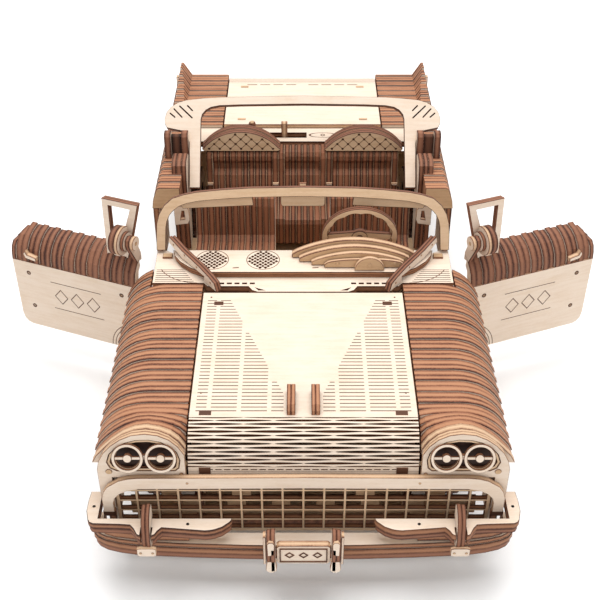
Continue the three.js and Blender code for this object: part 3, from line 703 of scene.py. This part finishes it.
def tail():
    panel = both([(0, 16.3), (69.5, 16.3), (69.5, 60), (FENDER_X, 60), (FENDER_X, 46), (0, 46)])
    stack = Stack("rear_panel_sheet", edge=WARM)
    vents = [rect(x - 1, 34, x + 1, 41) for x in range(-33, 34, 6)]
    lamp_holes = [ring(side * 55, 49, 3.4, 18) for side in (1, -1)]
    stack.ply(panel, 148.8, 151.8, across, holes=vents + lamp_holes)
    for side in (1, -1):
        for r, w0, w1, hole in ((6.5, 151.8, 152.8, 5.0), (4.6, 151.8, 152.4, 3.6), (2.4, 151.2, 152.8, 1.0)):
            stack.ply(ring(side * 55, 49, r, 26), w0, w1, across, holes=[ring(side * 55, 49, hole, 22)])
        stack.ply(ring(side * 55, 49, 3.3, 18), 149.2, 150.2, across, face=TAN_AND_SHADED)
        peg(stack, side * 66, 56, 151.8, across, outward=1)
        peg(stack, side * 44, 40, 151.8, across, outward=1)
    stack.build(nodes=["rear_panel"])
    bumper = both([(0, 155), (40, 155), (64, 155), (69, 154.4), (72.5, 153.4), (74.6, 151.6), (75.4, 149),
                   (75.4, 136), (71.4, 136), (71.4, 150.4), (70, 152.2), (0, 152.2)])
    plies = Stack("rear_bumper_plies", edge=DOORS)
    plies.plies(bumper, 20, 29, level, count=3, step=0.5, soft=0.2)
    plies.ply(bumper, 29.1, 32, level, soft=0.2, edge=WARM)
    plies.build(nodes=["rear_bumper"])


# ------------------------------------------------------------------------------------------------
# Cockpit


def speaker(cx, cy, r=7.0):
    """Square holes on the diagonal inside a circle."""
    holes = []
    for i in range(-5, 6):
        for j in range(-5, 6):
            x, y = cx + (i + 0.5 * (j % 2)) * 2.2, cy + j * 1.1
            if math.hypot(x - cx, y - cy) < r - 0.9:
                holes.append([(x - 0.72, y), (x, y - 0.72), (x + 0.72, y), (x, y + 0.72)])
    return holes


def dash():
    stack = Stack("dash_panels")
    cowl = both([(0, -50.3), (18.2, -50.3), (20.4, -49.2), (22, -46.6), (38.6, -46.6), (40.2, -44.4),
                 (61, -44.4), (61.3, -21.5), (57.6, -21.5), (53, -24), (40, -25.5), (0, -25.5)])
    vents = [rect(side * 23.6 + side * n * 3.1 - 0.95, -45.2, side * 23.6 + side * n * 3.1 + 0.95, -44.2)
             for side in (1, -1) for n in range(-1, 5)]
    slits = [slot_line(side * (44.5 + n * 0.8), -43.2 + n * 1.3, side * 60, -43.2 + n * 1.3, 0.24)
             for side in (1, -1) for n in range(7)]
    corners = [[(side * 15, -49.4), (side * 17.8, -49.4), (side * 19.4, -47.4)] for side in (1, -1)]
    stack.ply(cowl, 59, 62, level, holes=vents + slits + corners, soft=0.08)
    plate = both([(0, -41), (40.6, -41), (46, -38), (50.5, -33.6), (53, -29.5), (54, -25.5), (0, -25.5)])
    loop = ccw(plate)
    stack.ply(inset(loop, 0.4), 62, 63.4, level, soft=0.1)
    holes = speaker(-37.4, -32.4) + speaker(-16.4, -32.4)
    stack.ply(loop, 63.4, 65, level, holes=holes, soft=0.1)
    for x in (-37.4, -16.4):
        stack.ply(ring(x, -32.4, 6.9, 36), 64.99, 65.06, level, holes=[ring(x, -32.4, 6.6, 36)], soft=0.02,
                  **MARK)
    for side in (1, -1):
        arc_line = arc(side * 43, -27, 17.5, 270, 270 + side * 62, 14)
        back_line = arc(side * 43, -27, 17.2, 270 + side * 62, 270, 14)
        stack.ply(arc_line + back_line, 61.99, 62.07, level, soft=0.01, **MARK)
        stack.ply(rect(side * 56.5 - 2, -27.5, side * 56.5 + 2, -24.6), 61.9, 62.9, level, face=TAN_AND_SHADED)
    for x in (-28.5, 4):
        stack.ply(slot_line(x, -38.2, x + 2.2, -38.0, 0.5), 64.99, 65.1, level, soft=0.02, face=BURNT_FACE)
    stack.build(nodes=["dash_top"])

    base = 65.3

    def arch(x0, x1, rise, lift=1.6, power=0.8):
        top = [(x1 + (x0 - x1) * i / 22, base + lift + rise * math.sin(math.pi * i / 22) ** power)
               for i in range(23)]
        return [(x0, base), (x1, base)] + top

    # Tan faces here are painted shade on the forward-facing binnacle plies.
    hood = Stack("binnacle_plies", face=TAN_AND_SHADED, edge=WARM)
    hood.ply(arch(-4.5, 46, 7), -31.3, -28.3, across, soft=0.3)
    hood.ply(arch(-1.5, 43.6, 5.8), -34.3, -31.4, across, soft=0.3)
    hood.ply(arch(3.5, 41.2, 4.3), -36.6, -34.4, across, soft=0.3)
    hood.ply(arch(8.7, 41.0, 2.6, 1.4, 0.4), -38.4, -36.7, across, soft=0.25)
    hood.ply(arc(27, base, 6, 0, 180, 18), -FENDER_X, -38.5, across, soft=0.25)
    for x, w in ((14, -38.4), (37.4, -38.4)):
        peg(hood, x, base + 2.1, w, across, r=0.8)
    peg(hood, 27, base + 2.8, -FENDER_X, across, r=0.9)
    hood.build(nodes=["instrument_binnacle"])


def windscreen():
    half = [(57.6, 0.4), (61.3, 0.4), (61.2, 7), (60.8, 12), (59.7, 16), (57.6, 19.6), (54, 22.8), (49, 24.4),
            (44, 25.4), (33, 26.5), (22, 27.2), (0, 27.6)]
    inside = [(0, 23.6), (22, 23.2), (34, 22.4), (43, 21.6), (48, 20.6), (51.2, 19.4), (53.8, 17.4),
              (55.2, 15.8), (56.5, 13), (57, 10.4)]
    outline = mirror_frame(half, inside)
    put = leaned(across, 17, -23.6, 63.2)
    stack = Stack("windscreen_plies", face=SHADED_CREAM, edge=DOORS)
    stack.ply(outline, 0, 2.0, put, soft=0.2)
    loop = ccw(outline)
    stack.ply(inset(loop, 0.3), 2.0, 4.0, put, soft=0.2)
    for side in (1, -1):
        visor = [(20.5 * side, 19.0), (50 * side, 17.6), (51.4 * side, 19.6), (43 * side, 22.0),
                 (21.2 * side, 23.6)]
        stack.ply(visor, 3.0, 4.4, put, soft=0.2)
    stack.build(nodes=["windscreen_frame"])

    mirror = Stack("rear_view_mirror_plies", face=SHADED_CREAM, edge=BURNT)
    mirror_put = leaned(across, 17, -12.6, 81.5)
    mirror.ply([(-8.6, -2.6), (8.6, -2.6), (9.2, -1.6), (9.2, 1.6), (8.6, 2.6), (-8.6, 2.6), (-9.2, 1.6),
                (-9.2, -1.6)], 0, 3, mirror_put)
    mirror.ply(rect(-1.4, 2.4, 1.4, 7), 0.4, 2.6, mirror_put)
    mirror.build(nodes=["rear_view_mirror"])

    latch = Stack("window_latches", edge=WARM)
    for _, side in SIDES:
        bracket = [(0, 0), (5.6, 0.8), (6.4, 3), (6.2, 7.6), (5, 9.6), (0, 9.6)]
        hook = [(2.4, 2.6), (4.4, 3), (4.2, 7.2), (3.2, 7.2)]
        flip = mirrored(lambda u, v, w: (54.4 - u, w, v), side)
        latch.ply(bracket, -11.2, -9.2, moved(flip, 0, 0, 68), holes=[hook])
    latch.build()

    for name, side in SIDES:
        blade = [(0, 0.3), (8.4, 0.3), (8.4, 3.3), (24, 3.3), (34, 6.4), (33.2, 9.4), (24, 7.4), (12, 6.2),
                 (5, 4.8), (1.4, 3.6)]
        c, s = math.cos(math.radians(51.2)), math.sin(math.radians(51.2))
        rail_put = mirrored(lambda u, v, w: (33.5 + u * c - w * s, -50 + u * s + w * c, DECK + v), side)
        rail = Stack(f"{name}_screen_rail", edge=DOORS)
        loop = ccw(blade)
        rail.ply(loop, -1.5, 0, rail_put, soft=0.2)
        rail.ply(inset(loop, 0.25), 0, 1.5, rail_put, soft=0.2, face=BURNT_FACE)
        for u, v in ((4, 2.6), (13.5, 5), (22, 6.2), (30, 7.2)):
            rail.ply(ring(u, v, 0.45, 8), -1.7, -1.4, rail_put, face=TAN_AND_SHADED, soft=0.05)
        rail.build(nodes=[f"{name}_windscreen_rail"])


def front_seats():
    for name, side in SIDES:
        stack = Stack(f"{name}_front_seat_plies", edge=SLATS)
        put = mirrored(along, side)
        back = [(2, 20.9), (36, 20.9), (38, 40), (39, 51), (38, 54), (35.4, 55), (32, 54.4), (30.4, 51),
                (29, 44), (27.6, 37), (25, 34.6), (14, 34), (6, 34), (3, 33), (2, 31)]
        wide = [(2, 20.9), (36, 20.9), (38, 40), (39, 51), (38, 54), (35.4, 55), (31.4, 54.6), (29.6, 51),
                (28, 44), (26.6, 37.6), (24, 35.4), (14, 35), (6, 35), (2.6, 33.6), (2, 31)]
        count = 13
        pitch = 37 / count
        for i in range(count):
            x0 = 13 + pitch * i
            shape = wide if i in (0, 4, 8, 12) else back
            stack.ply(shape, x0, x0 + pitch - 0.26, put, soft=0.22)
            stack.ply(inset(ccw(shape), 0.3), x0 + pitch - 0.26, x0 + pitch, put,
                      soft=0.02, edge=GLUE)
        stack.build(nodes=[f"{name}_front_seat"])


def rear_seat():
    stack = Stack("rear_bench_plies", edge=SLATS)
    full = [(44, 20.9), (64, 20.9), (66, 37), (75.6, 45), (75.6, 57), (74.8, 59.2), (73, 60), (69, 60),
            (66.8, 59.4), (65.6, 57.6), (65.4, 55.4), (66.6, 53.4), (66.4, 50.4), (63.6, 48.4), (61.8, 44),
            (60, 38), (57, 35.4), (48, 34.5), (45, 34), (44, 32)]
    raised = [(44, 20.9), (64, 20.9), (66, 37), (75.6, 45), (75.6, 57), (74.8, 59.4), (73, 60), (69, 60),
              (66, 59.4), (64.6, 57.0), (64.2, 54), (63.6, 50), (62, 45), (60, 38.4), (57, 36), (48, 35.2),
              (45, 34.6), (44, 32)]
    count = 32
    pitch = 94 / count
    for i in range(count):
        x0 = -47 + pitch * i
        shape = raised if i in (0, 11, 12, 19, 20, 31) else full
        stack.ply(shape, x0, x0 + pitch - 0.3, along, soft=0.24)
        stack.ply(inset(ccw(shape), 0.3), x0 + pitch - 0.3, x0 + pitch, along, soft=0.02,
                  edge=GLUE)
    for x in (-45.5, -13.2, 13.2, 45.5):
        stack.ply(rect(x - 1.4, 44.2, x + 1.4, 45.1), 60.6, 63, across, edge=WARM)
    stack.build(nodes=["rear_seat"])


def headrests():
    for name, side in SIDES:
        put = moved(across, side * 30, 66.2, 60.3)
        moon = [(19, 0.8), (19, 1.4)] + arc(0, -13.2, 23.5, 39, 141, 24) + [(-19, 1.4), (-19, 0.8),
                                                                            (-18.2, 0), (18.2, 0)]
        stack = Stack(f"{name}_headrest_plies", face=SHADED_CREAM, edge=DOORS)
        loop = ccw(moon)

        def inside(x, z):
            return 0.8 < z < 10 and math.hypot(x, z + 13.2) < 22.9 and abs(x) < 18

        dots = [ring(x * 2.6, z, 0.45, 8) for z, odd in ((1.3, 0), (3.9, 1), (6.5, 0), (9.1, 1))
                for x in range(-6, 7) if x % 2 == odd and inside(x * 2.6, z)]
        stack.ply(loop, 0, 2.2, put, holes=dots, soft=0.16, face=SHADED_CREAM)
        stack.ply(inset(loop, 0.3), 2.2, 4.6, put, soft=0.2)
        stack.ply(loop, 4.6, 6.8, put, soft=0.2)
        stack.ply(inset(loop, 0.3), 6.8, 9, put, soft=0.2)
        for k in range(-7, 8):
            for row in range(4):
                x, z = 2.6 * k, 1.3 + 2.6 * row
                if (k + row) % 2:
                    continue
                for dx in (-2.6, 2.6):
                    if inside(x, z) and inside(x + dx, z + 2.6):
                        stack.ply(slot_line(x, z, x + dx, z + 2.6, 0.26), -0.05, 0.01, put, soft=0.01,
                                  **MARK)
        stack.build(nodes=[f"{name}_headrest"])


def shelf_and_hoop():
    stack = Stack("parcel_shelf_sheet")
    oval = [(2.8 * x, y) for x, y in ring(0, 0, 2.5, 30)]
    line = [(2.64 * x, y) for x, y in ring(0, 0, 2.3, 30)]
    stack.ply(rect(-54, 76.4, 54, 90.1), 57, 60, level,
              holes=[rect(-18, 80.4, 2, 85.6), rect(-26.5, 78.6, -23.5, 85.4)])
    place = moved(level, 10.2, 83.0)
    stack.ply(oval, 60.0, 60.08, place, holes=[line[::-1]], soft=0.01, **MARK)
    stack.ply(ring(0, 0, 1.1, 16), 60.0, 60.08, place, holes=[ring(0, 0, 0.7, 16)], soft=0.01,
              face=BURNT_FACE)
    stack.build(nodes=["parcel_shelf"])

    outer = [(49, 0), (54, 0), (54.2, 12), (54.4, 22), (55.6, 26), (58, 28), (65.4, 29.6), (66.4, 31.6),
             (66.6, 34), (65.6, 37.4), (63.6, 40), (60, 42.2), (56, 43.4), (48, 44.3), (40, 44.8), (0, 45.6)]
    inner = [(0, 41.4), (30, 41), (40, 40.6), (44.2, 39.8), (46.6, 38.4), (48.4, 36.2), (49, 33.6)]
    outline = mirror_frame(outer, inner)
    slits = [slot_line(side * x0, z0, side * x1, z1, 0.4) for side in (1, -1) for x0, z0, x1, z1 in (
        (63.8, 36.7, 61.6, 34.8), (62, 38.9, 58.2, 34.8), (59.3, 40.3, 53.3, 34.5), (55.5, 40.5, 53.2, 38.1))]
    put = leaned(across, 45, 45, 52.4)
    hoop = Stack("rear_hoop_sheet", edge=DOORS)
    hoop.ply(outline, 0, 3, put, holes=slits, soft=0.16)
    hoop.build(nodes=["rear_hoop"])

    posts = Stack("hoop_posts", edge=DOORS)
    for _, side in SIDES:
        side_put = mirrored(along, side)
        post = [(57, 46), (64, 46), (68, 60), (66, 68.5), (63, 73.5), (59.8, 73.5), (58.6, 72), (57.6, 62)]
        for x in (54.8, 63.0):
            posts.ply(post, x, x + 3.2, side_put, soft=0.2)
        # The set-back middle ply gets the darkest edge as painted shade in the groove between the posts.
        posts.ply(inset(post, 1.4), 58.2, 62.8, side_put, soft=0.2, edge=TYRE)
        jamb = [(41, 20), (50, 20), (56, 48), (57.4, 63), (54, 66), (46, 66.4), (43.6, 65), (42, 58)]
        for n in range(3):
            posts.ply(jamb, 54.8 + 2.3 * n, 57.0 + 2.3 * n, side_put, soft=0.2)
            posts.ply(inset(jamb, 0.3), 57.0 + 2.3 * n, 57.1 + 2.3 * n, side_put, soft=0.02, edge=GLUE)
    posts.build()

    lever = Stack("drive_lever_block", face=SHADED_CREAM, edge=WARM)
    lever.ply([(81.6, 40), (84.4, 40), (84.4, 67), (81.6, 67)], -10.5, -7.5, along)
    lever.build("drive_lever", ["drive_lever"])


# ------------------------------------------------------------------------------------------------
# Bonnet and boot lid


def skin_path(table, run, rise):
    """From a run along a bent skin, and a rise square to it, to Y and Z; the table holds (run, Y, Z)."""
    for (a, ya, za), (b, yb, zb) in zip(table, table[1:]):
        if run <= b or b == table[-1][0]:
            f = (run - a) / (b - a)
            dy, dz = (yb - ya) / (b - a), (zb - za) / (b - a)
            length = math.hypot(dy, dz)
            return (ya + (yb - ya) * f - rise * dz / length, za + (zb - za) * f + rise * dy / length)


BONNET_PATH = ((0, -51, 62), (65, -116, 62), (69, -120, 61.9), (73.1, -124, 61.2), (76.2, -127, 60.2),
               (79.2, -129.6, 58.6), (82.4, -131.8, 56.3), (85.5, -133.4, 53.6), (89, -134.4, 50.2),
               (92.6, -134.9, 46.6))
BOOT_PATH = ((0, 90.6, 62), (40, 130.6, 62), (47.4, 138, 62), (52, 142.4, 61.6), (55.6, 146, 60.8),
             (58.8, 148.7, 59.2), (61.8, 150.6, 57), (65, 151.4, 53.9), (72.2, 152.2, 46.8))


def bonnet_place(u, v, w):
    return (u, *skin_path(BONNET_PATH, v, -w))


def boot_place(u, v, w):
    return (u, *skin_path(BOOT_PATH, v, w))


def bonnet():
    stack = Stack("bonnet_skin", edge=WARM)
    holes = []
    rows = 35
    for row in range(rows):
        v = 5 + row * 1.85
        inner = max(28.6 - 25.0 * row / (rows - 1), 6.6)
        for a, b in ((37.6, 34.0), (32.4, 23.4), (21.8, 12.8), (11.2, 7.0)):
            b = max(b, inner)
            if a - b > 1.0:
                holes += [rect(b, v, a, v + 0.3), rect(-a, v, -b, v + 0.3)]
    rest = [0, 20, 40, 60, 65, 69, 70.95]
    outline = [(-LID_X, 0.0)] + [(LID_X, v) for v in rest] + [(-LID_X, v) for v in reversed(rest[1:])]
    stack.ply(outline, -3, 0, bonnet_place, holes=holes, soft=0.05, tone=0.5)
    # The bending part is one sheet cut into waves by offset rows of lens-shaped slits
    period, pitch, count = 20.6, 1.4, 13

    def slit(x, row):
        shift = 0 if row % 2 else period / 2
        near = (x + shift + period / 2) % period - period / 2
        return 0.13 + 0.30 * math.cos(math.pi / 2 * near / 9.7) if abs(near) < 9.7 else 0.0

    xs = [-LID_X + 2 * LID_X * i / 88 for i in range(89)]
    for row in range(count):
        a = 70.95 + row * pitch
        low = [(x, a + slit(x, row)) for x in xs]
        high = [(x, a + pitch - slit(x, row + 1)) for x in xs]
        stack.ply(low + high[::-1], -2.6, 0, bonnet_place, soft=0.03, tone=0.5, edge=BURNT)
    dashes = [rect(-33.4 + n * 3.04, 90.1, -31.2 + n * 3.04, 90.45) for n in range(23)]
    stack.ply(rect(-LID_X, 89.2, LID_X, 91.0), -2.8, 0, bonnet_place, holes=dashes, soft=0.03, tone=0.5)
    stack.ply(rect(-LID_X, 91.05, LID_X, 92.5), -2.8, 0, bonnet_place, soft=0.05, tone=0.5)
    for side in (1, -1):
        for x, v, w, d in ((33.2, 6.0, 3.6, 2.0), (34.2, 68.0, 4.2, 2.0), (34.0, 89.4, 4.0, 2.6)):
            stack.ply(rect(side * x - w / 2, v, side * x + w / 2, v + d), -0.5, 0.28, bonnet_place, soft=0.08,
                      **MARK)
        for x, v in ((36.4, 3), (36.4, 59)):
            stack.ply(ring(side * x, v, 0.4, 8), -0.2, 0.08, bonnet_place, soft=0.03, face=BURNT_FACE)
        fin = [(-121, 61.7), (-109, 61.7), (-109, 65.4), (-119.5, 65.4), (-121, 63.6)]
        x0 = 2.8 if side > 0 else -5.8
        stack.ply(fin, x0, x0 + 1.5, along, face=BURNT_FACE, edge=LIT_FENDER_EDGE, soft=0.15)
        stack.ply(fin, x0 + 1.5, x0 + 3, along, face=BURNT_FACE, edge=LIT_FENDER_EDGE, soft=0.15)
    stack.build("bonnet", ["bonnet"])


def boot_lid():
    stack = Stack("boot_skin", edge=WARM)
    slits = [rect(side * x - 2.6, 44.8, side * x + 2.6, 45.3) for side in (1, -1) for x in (6, 13, 20, 27)]
    stack.ply(rect(-LID_X, 0, LID_X, 47.4), -3, 0, boot_place, holes=slits, soft=0.1, tone=0.5)
    a = 47.5
    for row in range(8):
        b = a + 2.0
        stack.ply(rect(-LID_X, a, LID_X, b - 0.28), -2.8, 0, boot_place, soft=0.06, tone=0.5)
        a = b
    stack.ply(rect(-LID_X, a, LID_X, 72.1), -2.8, 0, boot_place, soft=0.06, tone=0.5,
              holes=[rect(x - 1.2, a + 2.2, x + 1.2, a + 5.6) for x in range(-32, 33, 8)])
    for side in (1, -1):
        for v in (4.6, 41.6):
            stack.ply(rect(side * 31 - 2, v, side * 31 + 2, v + 1.6), -0.5, 0.28, boot_place,
                      soft=0.08, face=TAN_AND_SHADED)
    stack.build("boot_lid", ["boot_lid"])


# ------------------------------------------------------------------------------------------------
# Doors


def door_roll(inset_by, deep=12.0):
    d = inset_by
    top = 63 - d
    points = [(d, 50), (0.3 + d, 53), (1.2 + d, 56), (3 + d * 0.8, 58.6 - d * 0.5), (5.2, 60.6 - d * 0.9),
              (8, 62.1 - d), (deep, top if deep > 8 else 61 - d)]
    return points + [(deep, 59.6 if deep > 8 else 57.4), (min(deep, 7), 58), (4.6, 55.6), (3.4, 50)]


def doors():
    for name, side in SIDES:
        skin_put = door_place(along, side)
        slice_put = door_place(across, side)
        stack = Stack(f"{name}_door_plies", edge=DOORS)
        skin = [(0.4, 14.6), (56.6, 14.6), (58.8, 15.4), (60.4, 17.2), (61, 20), (61, 50), (0.4, 50)]
        stack.ply(skin, 0, 3, skin_put, soft=0.2, edge=WARM)
        for s, z in ((7.6, 26), (7.6, 44), (53.6, 26), (53.6, 44)):
            peg(stack, s, z, 0.02, skin_put, r=1.0, out=0.02)
            engrave(stack, ring(s, z, 1.05, 14), skin_put, [ring(s, z, 0.55, 10)])
        for r in (13.4, 14.9):
            band = arc(0.4, 14.6, r, 2, 88, 20) + arc(0.4, 14.6, r - 0.32, 88, 2, 20)
            engrave(stack, band, skin_put)
        for cx in (22.5, 30.5, 38.5):
            diamond = [(cx - 3.4, 34.5), (cx, 30.4), (cx + 3.4, 34.5), (cx, 38.6)]
            hole = [(cx - 2.9, 34.5), (cx, 31.0), (cx + 2.9, 34.5), (cx, 38.0)]
            engrave(stack, diamond, skin_put, [hole])
        for z in (27.4, 41.6):
            engrave(stack, rect(18, z, 43, z + 0.32), skin_put)
        s = 0.5
        i = 0
        while s < 60.5:
            width = min(2.92, 61 - s)
            deep = 6.0 if s < 14.2 else 12.0
            small = 0.55 if i % 2 else 0.0
            roll = door_roll(small, deep)
            if s > 53.4:
                limit = 63.4 - (s - 53.0) * 0.92
                roll = [(x, min(z, limit)) for x, z in roll]
            stack.ply(roll, s, s + width - 0.03, slice_put, soft=0.18)
            s += width
            i += 1
        vent = [(5.6, 60), (15.6, 60), (15, 87.8), (-1.6, 87.8)]
        glass = [(8.6, 66), (12.6, 66), (12.2, 85), (2.2, 85)]
        stack.ply(vent, 5.6, 7.1, skin_put, holes=[glass], soft=0.16)
        stack.ply(inset(vent, 0.2), 7.1, 8.6, skin_put, holes=[glass], soft=0.16)

        arm = [(8.2, 59.4), (8.2, 63), (4.4, 73.4), (2, 74.6), (-0.2, 73.6), (-0.8, 71.4), (0, 69), (4.6, 60)]
        stack.ply(arm, 0.6, 2.6, slice_put, soft=0.16)
        for r, a, b, kind in ((3.0, -1.2, 0.4, WARM), (2.2, 0.4, 1.2, DOORS), (4.2, 2.6, 4.2, DOORS),
                              (6.2, 4.2, 5.8, WARM), (6.1, 5.8, 8.6, DOORS)):
            stack.ply(ring(2, 71.6, r, 26), a, b, slice_put, soft=0.18, edge=kind)
        stack.ply(ring(2, 71.6, 0.9, 10), -1.3, -1.1, slice_put, soft=0.04, face=TAN_AND_SHADED)
        stack.ply([(47.6, 52.4), (52.6, 53.2), (53.4, 55.2), (52.6, 56.6), (51.8, 54.8), (47.6, 54)], -1.6,
                  1.0, skin_put, soft=0.14, edge=WARM)
        stack.build(f"{name}_door", [f"{name}_door"])


# ------------------------------------------------------------------------------------------------
# Wheels and steering


def steering_wheel():
    c, s = math.cos(math.radians(10)), math.sin(math.radians(10))

    def put(u, v, w):
        return (24 + u, -16 + w * c - v * s, 66 + w * s + v * c)
    scallop = []
    for i in range(72):
        a = math.radians(5 * i)
        r = 13.2 + 0.7 * abs(math.sin(math.radians(30 * i)))
        scallop.append((math.cos(a) * r, math.sin(a) * r))
    stack = Stack("steering_wheel_plies", face=SHADED_CREAM, edge=DOORS)
    stack.ply(ring(0, 0, 16, 48), -1.2, 0.0, put, holes=[scallop], soft=0.16)
    stack.ply(ring(0, 0, 15.9, 48), 0.0, 1.2, put, holes=[ring(0, 0, 13.0, 44)], soft=0.16)
    spokes = [(-13.4, 1.4), (-3.2, 2.4), (3.2, 2.4), (13.4, 1.4), (13.4, -1.4), (3.4, -2.4), (1.4, -4),
              (1.4, -13.4), (-1.4, -13.4), (-1.4, -4), (-3.4, -2.4), (-13.4, -1.4)]
    stack.ply(spokes, -0.9, 0.9, put, soft=0.14)
    stack.ply(ring(0, 0, 3.4, 22), -1.2, 1.2, put, soft=0.16)
    stack.ply(ring(0, 0, 1.4, 16), -9.2, -1.0, put, soft=0.14)
    stack.build("steering_wheel", ["steering_wheel"])


def wheels():
    for name, body, y in (("left_front_wheel", "left_front_wheel", FRONT_AXLE_Y),
                          ("right_front_wheel", "right_front_wheel", FRONT_AXLE_Y),
                          ("left_rear_wheel", "rear_axle", REAR_AXLE_Y),
                          ("right_rear_wheel", "rear_axle", REAR_AXLE_Y)):
        side = 1 if name.startswith("left") else -1
        tread = []
        for i in range(24):
            tread += arc(0, 0, 20, 15 * i - 5, 15 * i + 5, 3) + arc(0, 0, 19.3, 15 * i + 6, 15 * i + 9, 1)
        spokes = [ring(0, 0, 2.3, 16)]
        for i in range(5):
            a = 72 * i
            spokes.append(arc(0, 0, 12, a - 24, a + 24, 8) + arc(0, 0, 6.4, a + 16, a - 16, 4))
        put = moved(mirrored(along, side), 0, y, 20)
        stack = Stack(f"{name}_plies", edge=TYRE)
        for w0, w1, small in ((52, 54, 0), (54, 56, 0.5), (56, 58, 0), (58, 60, 0.5)):
            stack.ply(inset(tread, small), w0, w1 - 0.02, put, holes=spokes, soft=0.16)
        stack.ply(ring(0, 0, 14.2, 40), 59.4, 60.0, put, holes=[ring(0, 0, 12.6, 36)], soft=0.08)
        stack.build(body, [name])


front_fenders()
flat_sides()
rear_fenders()
headlights()
grille()
front_bumper()
tail()
dash()
windscreen()
front_seats()
rear_seat()
headrests()
shelf_and_hoop()
bonnet()
boot_lid()
doors()
steering_wheel()
wheels()

# The sheets that stay as the CAD has them
KEPT = {
    "chassis_plate": "z", "left_chassis_rail": "x", "right_chassis_rail": "x", "front_axle_beam": "y",
    "firewall": "y", "left_sill": "x", "right_sill": "x", "engine_block": "z", "engine_fan": "y",
    "rear_axle": "x", "motor_pinion": "x", "left_knuckle": "x", "right_knuckle": "x", "shelf_knob": "z",
}
by_axis = {}
for node, axis in KEPT.items():
    if axis not in by_axis:
        by_axis[axis] = object_material(f"sheet_{axis}", axis, (0.66, 0.47, 0.29), (0.50, 0.31, 0.17),
                                        (0.04, 0.014, 0.008), (0.22, 0.09, 0.045))
    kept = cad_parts[node]
    kept.data.materials.clear()
    kept.data.materials.append(by_axis[axis])

# ------------------------------------------------------------------------------------------------
# Floor, light and camera


def floor():
    mesh = bpy.data.meshes.new("floor")
    size = 4.0
    mesh.from_pydata([(-size, -size, -0.0004), (size, -size, -0.0004), (size, size, -0.0004),
                      (-size, size, -0.0004)], [], [(0, 1, 2, 3)])
    t = Tree("pale_floor", 0.9)
    coord = t.node("ShaderNodeTexCoord").outputs["Object"]
    mottle = t.noise(coord, 60.0, 3.0)
    t.finish(t.ramp(mottle, (0.3, (0.93, 0.93, 0.93)), (0.7, (0.95, 0.95, 0.95))), mottle, 0.02)
    mesh.materials.append(t.material)
    made = bpy.data.objects.new("floor", mesh)
    bpy.context.scene.collection.objects.link(made)


def area_light(name, place, target, size, power, colour=(1, 1, 1)):
    data = bpy.data.lights.new(name, "AREA")
    data.shape = "RECTANGLE"
    data.size, data.size_y = size
    data.energy = power
    data.color = colour
    made = bpy.data.objects.new(name, data)
    made.location = place
    made.rotation_euler = (Vector(target) - Vector(place)).to_track_quat("-Z", "Y").to_euler()
    bpy.context.scene.collection.objects.link(made)


floor()
area_light("top", (0.0, 0.15, 1.1), (0, 0, 0.03), (1.0, 1.0), 14.0)
area_light("front_left", (-0.9, -1.0, 0.75), (0, 0, 0.04), (0.9, 0.7), 1.8)
area_light("front_right", (0.9, -1.0, 0.75), (0, 0, 0.04), (0.9, 0.7), 1.8)

world = bpy.data.worlds.new("studio")
world.use_nodes = True
world.node_tree.nodes["Background"].inputs[0].default_value = (1.0, 1.0, 1.0, 1)
world.node_tree.nodes["Background"].inputs[1].default_value = 0.64
bpy.context.scene.world = world
bpy.context.scene.view_settings.view_transform = "Standard"

camera = bpy.data.cameras.new("camera")
camera.lens = CAMERA_LENS
camera.sensor_width = 36.0
camera.clip_start = 0.01
shot = bpy.data.objects.new("camera", camera)
shot.location = CAMERA_PLACE
shot.rotation_euler = (CAMERA_TILT, 0, 0)
bpy.context.scene.collection.objects.link(shot)
bpy.context.scene.camera = shot
